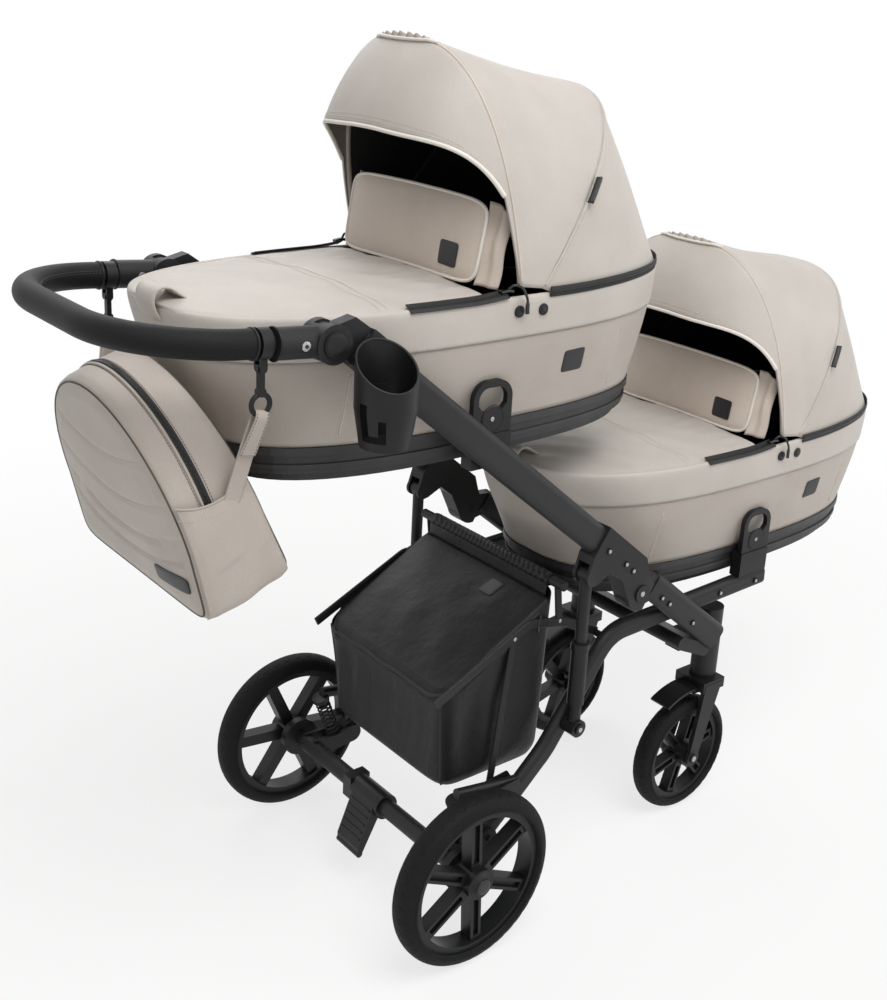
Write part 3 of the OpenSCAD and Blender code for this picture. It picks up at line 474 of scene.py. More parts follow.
def stitches(name, path, normal, body, finish="pale_thread", pitch=0.0042, size=(0.0029, 0.0008, 0.0007)):
    """A sewn line: thread bars as long as most of the pitch, lying on the cloth along the path."""
    bar = block(*(v/2 for v in size), taper=(0.7, 0.6))
    scatter(name, *spaced(path, normal, pitch), bar, finish=finish, body=body)


print("path helpers ready")

# %% [markdown]
# ## Finishes
# Each finish is one Principled shader. What changes over a surface, the colour, the roughness and the
# bump, comes from noise and cell patterns on Object coordinates, so it keeps its real scale in
# metres on every piece. What stays the same, such as sheen, is set on the shader's own socket.

# %% one helper for all finishes
def finish(name, vary, **fixed):
    """A named material: vary(first) gives the sockets that change, fixed the ones that don't."""
    mat = bpy.data.materials.new(name)
    first, last = open_tree(mat)
    shader = mat.node_tree.nodes.new("ShaderNodeBsdfPrincipled")
    for key, value in fixed.items():
        shader.inputs[key.replace("_", " ")].default_value = value
    for key, value in vary(first).items():
        mat.node_tree.links.new(value.out, shader.inputs[key.replace("_", " ")])
    mat.node_tree.links.new(shader.outputs[0], last.inputs["Surface"])
    MATERIALS[name] = mat


def place(first, kind=3):
    """Object coordinates, in metres; kind 2 is the piece's own UV map, also in metres."""
    return first.node("TexCoord", want=kind)


def noise(first, at, scale, detail):
    """Cloudy noise with so many lumps to the metre, and finer ones on them by the detail."""
    return first.node("TexNoise", Vector=at, Scale=scale, Detail=detail, Roughness=0.55)


def bump(first, height, depth, strength, under=None):
    """A normal tilted by the slope of a height, in metres of depth, over another bump if one is given."""
    more = {"Normal": under} if under else {}
    return first.node("Bump", Height=height, Distance=depth, Strength=strength, **more)


def leatherette(light, dark, grain=820.0, depth=0.00022, rough=(0.42, 0.58), creases=0.0010):
    """Coated cloth: pebbles between fine cracks, soft creases, and cloudy colour."""
    def vary(first):
        at = place(first)
        cells = first.node("TexVoronoi", {"feature": "DISTANCE_TO_EDGE"}, Vector=at, Scale=grain)
        pebble = cells.over(0.0, 0.22)
        cloud = noise(first, at, 7.0, 3.0)
        fine = noise(first, at, 420.0, 2.0)
        soft = noise(first, at, 16.0, 1.5)
        tone = cloud.over(0.35, 0.7)*0.75 + fine.over(0.35, 0.65)*0.25
        tint = tone.blend(colour(light), colour(dark))
        low = pebble.blend(colour(dark), (1, 1, 1, 1))
        multiply = {"data_type": "RGBA", "blend_type": "MULTIPLY"}
        shade = first.node("Mix", multiply, want=2, in_0=0.16, in_6=tint, in_7=low)
        wave = bump(first, soft, creases, 0.7)
        return {"Base Color": shade, "Roughness": fine*(rough[1] - rough[0]) + rough[0],
                "Normal": bump(first, pebble + fine*0.4, depth, 0.55, wave)}
    return vary


SHEEN = {"Sheen_Weight": 0.12, "Sheen_Roughness": 0.5}
finish("greige_leather", leatherette("cec7c0", "c3bcb4"), **SHEEN)
# A darker copy of the greige leather: painted shade for the tub's lower panel and the bag, which stand in
# shade.
finish("greige_painted_shade", leatherette("c3bab1", "b8aea5"), **SHEEN)
# Painted light: this taupe is lighter than the cloth's own, darker taupe, to make up for the shade under the
# hood on the wind flap. The taupe cords and seams share it.
finish("taupe_painted_light", leatherette("e0d3c7", "d4c7bb"), **SHEEN)
finish("grip_leather", leatherette("0f0f10", "0a0a0b", 700.0, 0.0003, (0.46, 0.60), 0.0003),
       Specular_IOR_Level=0.22)
print("leather finishes:", len(MATERIALS))

# %% moulded plastic, paint and rubber
def moulded(light, dark, rough=(0.34, 0.5), grain=1500.0, depth=0.00008):
    """Satin moulded plastic: an even spark texture and faint cloudiness; rubbed spots are glossier."""
    def vary(first):
        at = place(first)
        spark = noise(first, at, grain, 2.0)
        cloud = noise(first, at, 11.0, 3.0)
        tone = cloud.over(0.3, 0.75).blend(colour(light), colour(dark))
        rough_ = cloud*(rough[1] - rough[0]) + rough[0] + spark*0.06 - 0.03
        return {"Base Color": tone, "Roughness": rough_, "Normal": bump(first, spark, depth, 0.45)}
    return vary


def powder_coat(light, dark):
    """Powder paint on tube: fine orange peel, with convex edges and ends a touch lighter."""
    def vary(first):
        at = place(first)
        peel = noise(first, at, 900.0, 1.0)
        cloud = noise(first, at, 5.0, 4.0)
        # Convex edges and ends, found by pointiness, are made a touch lighter.
        convex_edges = first.node("NewGeometry", want=7).over(0.52, 0.62)
        tone = (cloud*0.7 + convex_edges*0.4).over(0.2, 1.0).blend(colour(dark), colour(light))
        return {"Base Color": tone, "Roughness": peel*0.12 + 0.4 + cloud*0.08,
                "Normal": bump(first, peel, 0.00006, 0.5)}
    return vary


def rubber(light, dark):
    """Tyre rubber: dull, with pale dust caught in a fine texture."""
    def vary(first):
        at = place(first)
        dust = noise(first, at, 34.0, 5.0)
        fine = noise(first, at, 1100.0, 2.0)
        tone = (dust.over(0.45, 0.85)*0.6 + fine*0.25).blend(colour(dark), colour(light))
        return {"Base Color": tone, "Roughness": dust*0.12 + 0.62, "Normal": bump(first, fine, 0.00012, 0.5)}
    return vary


def brushed(light, dark):
    """Zinc-plated steel: long fine scratches along Y and a little haze."""
    def vary(first):
        at = place(first)
        stretched = first.node("Mapping", Vector=at, Scale=(900.0, 60.0, 900.0))
        lines = first.node("TexNoise", Vector=stretched, Scale=1.0, Detail=2.0)
        tone = lines.over(0.3, 0.7).blend(colour(dark), colour(light))
        return {"Base Color": tone, "Roughness": lines*0.2 + 0.24, "Normal": bump(first, lines, 0.00003, 0.4)}
    return vary


finish("black_plastic", moulded("1c1c1d", "141415"), Specular_IOR_Level=0.3)
# The pan is black plastic. This lighter grey is painted light, for the light on its lip.
finish("pan_painted_light", moulded("353536", "2c2c2d", (0.40, 0.52)), Specular_IOR_Level=0.4)
finish("rim_plastic", moulded("18191a", "111213", (0.36, 0.5)), Specular_IOR_Level=0.3)
finish("gloss_black", moulded("131314", "0c0c0d", (0.12, 0.2), 600.0, 0.00002))
finish("graphite_paint", powder_coat("2a2a2c", "1c1c1e"), Specular_IOR_Level=0.3)
finish("tyre_rubber", rubber("1e1e1e", "0c0d0d"), Specular_IOR_Level=0.2)
finish("steel", brushed("c9c9cb", "8e8e92"), Metallic=1.0)
print("hard finishes:", sorted(MATERIALS))

# %% woven cloths
def woven(light, dark, pitch, depth, rough, folds=0.0):
    """Woven twill on the piece's own UV map: two slanted sine ridges that cross."""
    def vary(first):
        at = place(first, 2)
        parts = [first.node("SeparateXYZ", Vector=at, want=k) for k in (0, 1)]
        turn = 2*math.pi/pitch
        warp = ((parts[0] + parts[1])*turn).maths("SINE")
        weft = ((parts[0] - parts[1])*turn*0.5).maths("SINE")
        thread = warp*weft*0.5 + 0.5
        room = place(first)
        cloud = noise(first, room, 18.0, 4.0)
        tone = (thread*0.5 + cloud.over(0.3, 0.75)*0.5).blend(colour(dark), colour(light))
        soft = bump(first, noise(first, room, 24.0, 3.0), folds, 0.8) if folds else None
        return {"Base Color": tone, "Roughness": cloud*(rough[1] - rough[0]) + rough[0],
                "Normal": bump(first, thread, depth, 0.5, soft)}
    return vary


def ribbed(light, dark, pitch, depth, rough):
    """Tape or cord with ribs across its length, from the UV map's second distance."""
    def vary(first):
        v = first.node("SeparateXYZ", Vector=place(first, 2), want=1)
        rib = (v*(2*math.pi/pitch)).maths("SINE")*0.5 + 0.5
        cloud = noise(first, place(first), 30.0, 3.0)
        tone = (rib*0.7 + cloud*0.3).blend(colour(dark), colour(light))
        return {"Base Color": tone, "Roughness": cloud*0.15 + rough, "Normal": bump(first, rib, depth, 0.6)}
    return vary


finish("basket_cloth", woven("111112", "09090a", 0.0012, 0.00014, (0.42, 0.62), folds=0.004),
       Sheen_Weight=0.06, Sheen_Roughness=0.4, Specular_IOR_Level=0.35)
finish("black_lining", woven("181818", "0d0d0d", 0.0012, 0.00015, (0.75, 0.9)))
finish("grey_lining", woven("8d857d", "756e67", 0.0012, 0.00015, (0.7, 0.85)), Sheen_Weight=0.1)
finish("cot_cotton", woven("e2dcd3", "d2cbc1", 0.0014, 0.0002, (0.75, 0.9), folds=0.002), Sheen_Weight=0.2)
finish("vent_mesh", woven("bdb6ae", "8f8880", 0.0018, 0.0004, (0.6, 0.8), folds=0.003))
finish("cream_piping", ribbed("f3efe8", "e3ddd3", 0.002, 0.00012, 0.5))
finish("zip_tape", ribbed("242425", "141414", 0.0013, 0.0002, 0.62))
finish("webbing", ribbed("2a2a2b", "171717", 0.0017, 0.0003, 0.62))
finish("patch_rubber", moulded("1c1c1d", "141415", (0.4, 0.52), 900.0, 0.0001))
finish("pale_thread", ribbed("e8e2d9", "cfc7bd", 0.0007, 0.0001, 0.6))
finish("dark_thread", ribbed("5d564f", "47413b", 0.0007, 0.0001, 0.6))
print("finishes:", len(MATERIALS))

# %% [markdown]
# ## Finishes on the hard parts
# The frame tubes, rims, brackets and fittings keep the shapes that they have in the frame, and get a
# finish each. Soft nodes and tyres get one too, though a drawn piece stands for each of them later.

# %% dress the hard parts
def dress(finish_name, *names):
    """Puts one finish on each of the named nodes in place of the one it came with."""
    for name in names:
        slots = nodes[name].data.materials
        slots.clear()
        slots.append(MATERIALS[finish_name])


sides = ("right", "left")
dress("graphite_paint", *[n + s for n in ("side_rail_", "front_tube_", "upper_tube_") for s in sides],
      "front_beam", "fold_brackets", "basket_frame", "rear_axle", "handlebar", "handle_hubs", "handle_joints")
dress("pan_painted_light", "upper_pan", "lower_pan")
dress("black_plastic", "upper_fittings", "lower_fittings", "upper_adapters", "front_adapters",
      "cup_holder", "hanger_bands", "snap_hooks", "brake_pedal", "axle_brackets", "strut_sleeves",
      "front_fork_right", "front_fork_left")
dress("rim_plastic", *[e + "_rim_" + s for e in ("rear", "front") for s in sides])
dress("tyre_rubber", *[e + "_tyre_" + s for e in ("rear", "front") for s in sides])
dress("black_plastic", "frame_rivets", "fold_pins", "axle_springs")
dress("graphite_paint", "strut_rods")
dress("grip_leather", "grip")
dress("basket_cloth", "basket", "basket_lid")
for u in ("upper", "lower"):
    dress("greige_leather", *[u + n for n in ("_shell", "_apron", "_visor", "_hood", "_hood_back")])
    dress("taupe_painted_light", u + "_flap")
    dress("cot_cotton", u + "_mattress")
dress("greige_painted_shade", "bag", "bag_straps")
print("hard parts dressed")

# %% [markdown]
# ## Tyres
# A tyre is a rounded section turned about the axle. Its tread stands a millimetre proud, ends in a row
# of scallops at each shoulder and is cut by small Y-shaped sipes. The tread is worked out as a height
# over the turned surface, because the pattern repeats by angle and would be slow to cut by booleans.

# %% tyre surface
TREAD, TYRE_ROUND = 0.0011, 2.4
CELL_STEPS, TYRE_ROWS = 18, 57
SIPE_MID, SIPE_TIPS = (0, 0.0095), ((0, 0.0165), (0.0055, 0.0045), (-0.0055, 0.0045))
BEADS, BEAD_R = ((0.985, 0.0016), (0.955, 0.0042)), 0.0011
RIGHT_LEFT = (("right", -1), ("left", 1))


def bar_distance(u, v, start, end):
    """How far points (u, v) lie from a straight bar between two points."""
    a, b = np.array(start), np.array(end)
    d = b - a
    t = np.clip(((u - a[0])*d[0] + (v - a[1])*d[1])/(d@d), 0, 1)
    return np.hypot(u - a[0] - t*d[0], v - a[1] - t*d[1])


def tyre_grid(radius, half, depth, cells):
    """Points of a tyre about the Y axis: a superellipse section of power 2.4, with the tread's height."""
    turn = turns(cells*CELL_STEPS)[None]
    s = np.linspace(-1, 1, TYRE_ROWS)[:, None]
    t = s*np.pi/2
    y, rise = half*sup(np.sin(t), TYRE_ROUND), depth*np.abs(np.cos(t))**(2/TYRE_ROUND)
    u = ((turn*cells/(2*np.pi)) % 1 - 0.5)*2*np.pi*radius/cells
    v = np.abs(s)*(half + depth)*0.80
    edge = 0.0188*half/0.0233
    scallop = edge + 0.0042*np.abs(np.cos(np.pi*u*cells/(2*np.pi*radius)))
    tread = TREAD*np.clip((scallop - v)/0.0012, 0, 1)
    cut_ = np.min([bar_distance(u, v, SIPE_MID, tip) for tip in SIPE_TIPS], axis=0)
    tread = tread - TREAD*0.9*np.clip((0.0013 - cut_)/0.0007, 0, 1)
    ribs = -0.0006*np.exp(-((v - 0.0285*half/0.0233)/0.0008)**2)
    r = radius - depth - TREAD + rise + (tread + ribs)*np.abs(np.cos(t))**0.3
    return xyz(r*np.cos(turn), y, r*np.sin(turn))


def wheel_trim(name, centre, sign, radius, half, depth, cells, body, node):
    """A tyre with two beads at each edge, in place of the plain one."""
    grid = tyre_grid(radius, half, depth, cells) + centre
    made = surface(name, grid, ring_rows=True, ring_cols=True, finish="tyre_rubber", body=body,
                   slot="tyre_rubber")
    turn_out(made)
    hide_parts(node)
    turn = turns(160)
    for number, (across, bead) in enumerate(BEADS):
        for face in (-1, 1):
            r = radius - depth + bead
            path = xyz(r*np.cos(turn), face*half*across, r*np.sin(turn)) + centre
            tag = "out" if face*sign > 0 else "in"
            cord("%s_bead_%d_%s" % (name, number, tag), path, BEAD_R, (0, face, 0), "tyre_rubber", body,
                 closed=True)


REAR_R, REAR_Y, FRONT_R, FRONT_Y, FRONT_X = 0.145, 0.261, 0.111, 0.159, 0.590 - REAR
for side, sign in RIGHT_LEFT:
    rear_hub, front_hub = (-REAR, sign*REAR_Y, REAR_R), (FRONT_X, sign*FRONT_Y, FRONT_R)
    wheel_trim("rear_tread_" + side, np.array(rear_hub), sign, REAR_R, 0.0233, 0.022, 40,
               "rear_wheel_" + side, "rear_tyre_" + side)
    wheel_trim("front_tread_" + side, np.array(front_hub), sign, FRONT_R, 0.0196, 0.018, 34,
               "front_wheel_" + side, "front_tyre_" + side)
print("tyres made")

# %% [markdown]
# ## The cots: shell and band
# Each cot is a soft tub on a moulded pan. A lower panel leans out from the pan, and an upper band
# stands over it, so the seam between them is a real step. In plan the tub is a superellipse. Here
# each ring of it has its own inset at foot, head and sides, and a smooth line runs through the rings.

# %% cot sizes and rings
FOOT, HEAD, HALF = -0.395, 0.470, 0.206
BASE, RIM = 0.800, 1.040
MIDDLE, REACH = (FOOT + HEAD)/2, (HEAD - FOOT)/2
ROUND = 2.8
COTS = {"upper": np.array((-REAR, 0.0, 0.0)), "lower": np.array((0.645 - REAR, 0.0, -0.333))}
RIM_TURN = np.linspace(0, 2*np.pi, 4001)
rim_line = np.stack([REACH*sup(np.cos(RIM_TURN), ROUND), HALF*sup(np.sin(RIM_TURN), ROUND)], -1)
RING_A = even(rim_line, RIM_TURN, 176)[None]


def cot_rings(rows):
    """Rings of the cot: each row is foot, head and side inset, and the height above the pan's foot."""
    f, h, s, z = (np.asarray(rows, float)[:, k:k + 1] for k in range(4))
    x = (FOOT + f + HEAD - h)/2 + (HEAD - h - FOOT - f)/2*sup(np.cos(RING_A), ROUND)
    y = (HALF - s)*sup(np.sin(RING_A), ROUND)
    return xyz(x, y, BASE + z)


def rim_half(x):
    """Half the cot's width at x, from the superellipse's equation."""
    return HALF*np.maximum(0, 1 - np.abs((x - MIDDLE)/REACH)**ROUND)**(1/ROUND)


PANEL = curve([(0.070, 0.031, 0.0278, 0.0555), (0.0625, 0.028, 0.0235, 0.075),
               (0.0485, 0.021, 0.0165, 0.106), (0.030, 0.013, 0.0085, 0.146),
               (0.0185, 0.008, 0.0035, 0.178), (0.0180, 0.0075, 0.0040, 0.186)], 18)
BAND = curve([(0.0165, 0.0068, 0.0022, 0.1835), (0.0145, 0.0055, 0.0000, 0.184),
              (0.0090, 0.0035, -0.0016, 0.200), (0.0030, 0.0010, -0.0026, 0.222),
              (0.0008, -0.0004, -0.0018, 0.2365), (0.0030, 0.0024, 0.0012, 0.2425),
              (0.0085, 0.0085, 0.0070, 0.2415)], 20)
heart = np.array((MIDDLE, 0, 0.95))
for cot, move in COTS.items():
    # The lower panel takes the darker greige, which is painted shade.
    panel = surface(cot + "_tub_panel", cot_rings(PANEL) + move, ring_cols=True, finish="greige_painted_shade",
                    body=cot + "_cot", slot="greige_cloth", away=heart + move)
    wall(panel, 0.004, lining="black_lining")
    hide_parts(cot + "_shell")
    band = surface(cot + "_tub_band", cot_rings(BAND) + move, ring_cols=True, finish="greige_leather",
                   body=cot + "_cot", slot="greige_cloth", away=heart + move)
    wall(band, 0.0025, lining="black_lining")
print("tub panel rings", len(PANEL), "band rings", len(BAND))

# %% [markdown]
# ## Hood panels
# A hood is three cloth panels over two hoops that turn about studs at the cot's sides: a visor in
# front of the first hoop, a panel between the hoops, and a back panel that falls to the rim. A hoop
# is a superellipse arch. The visor swings its arch forward and shrinks it a little, the others
# join two lines point by point, with a slight hollow or swell, which is how tight cloth lies.

# %% hood shapes
HOOP1, HOOP2 = (0.078, RIM - 0.020), (0.092, RIM - 0.020)
BOW, BOW_HALF, BOW_ROUND = 0.363, 0.205, 2.7
LEAN1, LEAN2, VISOR = 101.6, 54.5, 18.7
HOOD_HEART = np.array((0.150, 0, RIM + 0.030))


def arch(foot, lean, a, radius, half):
    """A hoop: height is the radius times sin(a) to the 2/2.7, laid at the lean angle from its foot."""
    a, lean = np.radians(a), np.radians(lean)
    h = radius*np.abs(np.sin(a))**(2/BOW_ROUND)
    x, z = foot[0] + h*np.cos(lean), foot[1] + h*np.sin(lean)
    return xyz(x, -half*sup(np.cos(a), BOW_ROUND), z)


def visor_reach(a):
    """How many degrees the visor stands before the hoop: a few at the studs, most over the middle."""
    q = np.minimum(a, 180 - a)
    return 2 + (VISOR - 2)*np.sin(np.radians(np.clip((q - 21)*1.41, 0, 90)))**0.89


def visor_at(a, t):
    """Visor points: t is 0 at the hoop and 1 at the front edge; the arch shrinks as it swings out."""
    d = -1.5 + t*(visor_reach(a) + 1.5)
    f = d/29
    return arch(HOOP1, LEAN1 + d, a, BOW*(1 - 0.34*np.maximum(0, f) - 0.06*f*f), BOW_HALF)


def middle_at(a, t):
    """Points between the hoops: straight lines with a shallow hollow towards the hood's heart."""
    front = arch(HOOP1, LEAN1 - 1.7, a, BOW, BOW_HALF)
    rear = arch(HOOP2, LEAN2 + 0.3, a, BOW, BOW_HALF)
    p = front + (rear - front)*t[..., None]
    dip = 0.006*np.sin(np.radians(a))*np.sin(np.pi*t)
    return p - dip[..., None]*unit(p - HOOD_HEART)


HOOP_A = np.array([2.5, 5, 10, 17, 26, 37, 51, 69, 90, 111, 129, 143, 154, 163, 170, 175, 177.5])
HOOP_B = 83*(1 - np.arange(17)/8)


def back_at(a, t):
    """Points from the rear hoop down to the rim of the head end, swelling outwards between them."""
    b = np.radians(np.interp(a, HOOP_A, HOOP_B))
    top = arch(HOOP2, LEAN2, a, BOW, BOW_HALF)
    foot_x, foot_y = MIDDLE + REACH*sup(np.cos(b), ROUND), -HALF*sup(np.sin(b), ROUND)
    foot = xyz(foot_x, foot_y, RIM + 0.0005)
    q = top + (foot - top)*t[..., None]
    swell = 0.006*np.sin(np.radians(a))**0.6*np.sin(np.pi*t)
    return q + swell[..., None]*unit(q - HOOD_HEART)


def hood_grid(shape, cols):
    """A grid over the arch and across the panel, with rows closer together near the studs."""
    s = np.linspace(-1, 1, 121)
    a = 90 + 87.5*(0.55*np.sin(s*np.pi/2) + 0.45*s)
    return shape(*crossed(a, np.linspace(0, 1, cols)))


HOOD_PARTS = (("_hood_visor", visor_at, 28, "_bow", "_visor", "grey_lining"),
              ("_hood_middle", middle_at, 30, None, "_hood", "black_lining"),
              ("_hood_rear", back_at, 26, "_cot", "_hood_back", "black_lining"))
for cot, move in COTS.items():
    sheets = {}
    for part, shape, cols, body, node, inner in HOOD_PARTS:
        sheets[part] = surface(cot + part, hood_grid(shape, cols) + move, finish="greige_leather",
                               body=body and cot + body, slot="greige_cloth", away=HOOD_HEART + move)
        wall(sheets[part], 0.004, lining=inner)
        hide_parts(cot + node)
    rear_top = arch(HOOP2, LEAN2, np.array(90.0), BOW, BOW_HALF) + move
    front_top = arch(HOOP1, LEAN1, np.array(90.0), BOW, BOW_HALF) + move
    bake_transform(sheets["_hood_middle"])
print("hood panels made")

# %% [markdown]
# ## Apron
# The apron covers the tub from the foot to the wind flap. It is a thin padded cover with a crown, a
# sewn fold line across it and a few loose creases. A grid by length and width follows the rim, and
# the height is a crown that falls to the edge, minus a groove along the seam, plus long low waves.

# %% apron cover
SEAM_X, SEAM_BOW = -0.150, 0.006
FLAP_X = 0.028
THREAD_UP = 0.0004


def seam_at(v):
    """Where the fold line crosses the apron: it bows towards the flap in the middle."""
    return SEAM_X + SEAM_BOW*(1 - v**2)


def apron_at(a, v):
    """Cover points: x runs from the foot to the flap by angle a, v is -1 to 1 across."""
    x = np.minimum(MIDDLE - REACH*np.cos(np.radians(a)), FLAP_X)
    half = rim_half(x) - 0.0045
    groove = 0.0032*np.exp(-((x - seam_at(v))/0.0045)**2)
    waves = 0.0022*np.sin(62*x + 9*v)*np.sin(3.1*v + 21*x)*(1 - v**4)*np.clip((x - FOOT)/0.08, 0, 1)
    crown = 0.0115*(1 - np.abs(v)**2.6)*np.clip((x - FOOT)/0.12, 0, 1)**0.6
    near_flap = 0.003*np.exp(-((x + 0.02)/0.03)**2)*np.sin(40*v)
    edge = -0.0035*np.abs(v)**14
    return xyz(x, half*v, RIM + 0.0035 + crown + waves + near_flap*(1 - v**2) - groove + edge)


apron_a = np.degrees(np.arccos(np.linspace(0.9985, 0.043, 76)))
aa, vv = crossed(apron_a, np.sin(np.linspace(-1, 1, 61)*np.pi/2))
for cot, move in COTS.items():
    apron = surface(cot + "_apron_cover", apron_at(aa, vv) + move, finish="greige_leather", body=cot + "_cot",
                    slot="greige_cloth", away=np.array((-0.2, 0, 0.5)) + move)
    wall(apron, 0.0035)
    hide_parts(cot + "_apron")
    seam_v = np.linspace(-0.93, 0.93, 60)
    for end, step in (("foot", -0.006), ("head", 0.006)):
        a = np.degrees(np.arccos((MIDDLE - seam_at(seam_v) - step)/REACH))
        line = apron_at(a, seam_v) + move + (0, 0, THREAD_UP)
        stitches("%s_apron_stitch_%s" % (cot, end), line, (0, 0, 1), cot + "_cot")
print("apron", apron.data.vertices[0].co[:])

# %% [markdown]
# ## Zips, studs and pulls
# A zip is two woven tapes, a row of teeth and a slider. The tape is a ribbon carried along the rim,
# the teeth are one small block scattered along the same line, and the pull is a bent tube.

# %% zip along a line
TAPE_THICK = 0.0014
TOOTH, TOOTH_PITCH, TOOTH_UP, TOOTH_OFF = (0.0008, 0.0017, 0.0008), 0.0024, 0.0010, 0.0009
STUDS = ((0.066, RIM - 0.018), (0.112, RIM - 0.020))
STUD_LEAN = 0.0203


def zip_line(name, path, normal, width, body):
    """A black zip: a ribbon of tape, and interlocking teeth along its middle."""
    path = np.asarray(path, float)
    out = unit(matched(normal, len(path)))
    sweep(name + "_tape", path, flat_section(width, TAPE_THICK), out, finish="zip_tape", body=body)
    spots, ahead_, out = spaced(path, out, TOOTH_PITCH)
    hand = np.where(np.arange(len(spots)) % 2, TOOTH_OFF, -TOOTH_OFF)[:, None]
    spots = spots + out*TOOTH_UP + np.cross(out, ahead_)*hand
    scatter(name + "_teeth", spots, ahead_, out, block(*TOOTH), finish="gloss_black", body=body)


def disc(name, centre, axis, radius, height, finish_name, body, dome=0.35, rings_=10, sides_=36):
    """A button: a low dome turned about an axis, whose height falls as a power of the radius."""
    axis = unit(np.asarray(axis, float))
    s1 = unit(np.cross(axis, (0.31, 0.17, 0.93)))
    s2 = np.cross(axis, s1)
    q = np.linspace(0, 1, rings_)[:, None]
    r = np.concatenate([radius*np.sin(q*np.pi/2), [[radius]], [[radius*0.96]]])
    h = np.concatenate([height*(1 - dome*np.sin(q*np.pi/2)**4), [[0.0]], [[-height*0.5]]])
    a = turns(sides_)[None]
    P = centre + axis*h[..., None] + s1*(r*np.cos(a))[..., None] + s2*(r*np.sin(a))[..., None]
    surface(name, P, ring_cols=True, finish=finish_name, body=body, away=centre - axis*height)


for cot, move in COTS.items():
    on_cot = cot + "_cot"
    for side, sign in RIGHT_LEFT:
        x = np.linspace(SEAM_X + 0.030, 0.046, 40)
        y = sign*(rim_half(x) - 0.0032)
        z = RIM + 0.0036 + 0.004*np.clip((x + 0.02)/0.06, 0, 1)**2
        line = xyz(x, y, z) + move
        zip_line("%s_zip_%s" % (cot, side), line, (0, sign*0.55, 1), 0.0185, on_cot)
        tip = line[-1]
        slider = curve(tip + [(-0.012, 0, 0.003), (0.000, 0, 0.0048), (0.010, 0, 0.0035)], 9)
        sweep("%s_zip_slider_%s" % (cot, side), slider, flat_section(0.009, 0.0042), (0, 0, 1),
              finish="gloss_black", body=on_cot)
        pull = curve(tip + [(0.003, 0, 0.006), (0.010, sign*0.004, 0.012), (0.020, sign*0.010, 0.008),
                            (0.026, sign*0.0145, -0.006), (0.027, sign*0.0150, -0.016)], 26)
        cord("%s_zip_pull_%s" % (cot, side), pull, 0.0019, (0, sign, 0.3), "gloss_black", on_cot)
        knob = pull[-1] + [(0, 0, 0.003), (0, 0, -0.004), (0.0005, 0, -0.012)]
        cord("%s_zip_knob_%s" % (cot, side), knob, 0.0034, (0, sign, 0), "gloss_black", on_cot,
             count=10, sides=10, squash=0.7)
        for number, (px, pz) in enumerate(STUDS):
            py = rim_half(px) + 0.0035 - STUD_LEAN*(px - STUDS[0][0])
            at = np.array((px, sign*py, pz)) + move
            tag = "%s_%d" % (side, number)
            disc("%s_stud_%s" % (cot, tag), at, (0, sign, 0), 0.0085, 0.0028, "black_plastic", on_cot)
            disc("%s_stud_eye_%s" % (cot, tag), at + (0, sign*0.0022, 0), (0, sign, 0), 0.0030, 0.0012,
                 "gloss_black", on_cot)
print("zips and studs made")

# %% [markdown]
# ## Padded pieces
# The wind flap, the mattress and the patches are pads: two faces sewn together at the edge, fullest
# in the middle. A pad is drawn on a rounded square of directions. The thickness falls to nothing at
# the edge as the root of one minus a power of the distance, so the sides are round and the face flat.

# %% pad helper
PATCH = {"corner": 9.0, "count": 64, "rings_": 6, "finish": "patch_rubber"}


def pad(name, at, thick, corner=7.0, count=120, rings_=16, edge=5.0, lump=None, **how):
    """A closed pad. at(c, s) gives middle points and normals for c and s from -1 to 1; lump(c, s)
    scales the thickness, as for quilting."""
    phi = turns(count)[None]
    q = np.sin(np.linspace(0.02, 1, rings_)*np.pi/2)[:, None]
    c, s = q*sup(np.cos(phi), corner), q*sup(np.sin(phi), corner)
    middle, normal = at(c, s)
    h = thick/2*np.sqrt(np.maximum(0, 1 - q**edge))*np.ones_like(phi)
    h = h*(lump(c, s) if lump else 1.0)
    front, back = middle + normal*h[..., None], middle - normal*h[..., None]
    P = np.concatenate([front, back[::-1][1:]])
    faces = grid_faces(len(P), count, False, True)
    thing = piece(name, P, faces, uv=grid_uv(P, False, True), lids=end_lids(P), **how)
    turn_out(thing)
    return thing


print("pad helper ready")

# %% wind flap
FLAP_HALF, FLAP_HIGH, FLAP_CORNER = 0.158, 0.1315, 8.0
FLAP_THICK, FLAP_PIPING = 0.0135, 0.0026
PATCH_Y, PATCH_Z, PATCH_HALF = 0.1045, 1.0875, 0.0175
SIDE_X, SIDE_H = 0.197, 0.1300


def flap_foot(y):
    """The height of the apron under the flap, plus a hair of room."""
    return RIM + 0.0050 + 0.0115*(1 - np.abs(y/0.2)**2.6)


def flap_at(c, s):
    """Middle points of the flap: c runs across, s from bottom to top. It leans back and bows forward."""
    k = (s + 1)/2
    y = FLAP_HALF*c*(1 + 0.02*k)
    low = flap_foot(y)
    high = RIM + FLAP_HIGH - 0.004*c**2
    x = 0.0185 + 0.0205*k - 0.0045*np.sin(np.pi*k)*(1 - c**2) + 0.006*np.abs(c)**4
    middle = xyz(x, y, low + (high - low)*k)
    normal = unit(xyz(-1.0, 0.03*c, 0.16 - 0.1*s))
    return middle, normal


def flap_crease(c, s):
    """Soft padding is fuller in the middle and has a few shallow dents near the sewn edge."""
    return 1 + 0.10*np.sin(9*c + 2*s)*np.abs(c*s) - 0.05*np.sin(7*s)*c


def flap_patch(c, s):
    """The plain patch near the flap's right edge, standing on its padding."""
    up_ = 2*(PATCH_Z + PATCH_HALF*s - flap_foot(PATCH_Y))/0.115 - 1
    middle, normal = flap_at((-PATCH_Y + 0.0185*c)/FLAP_HALF, up_)
    return middle + normal*0.0068, normal


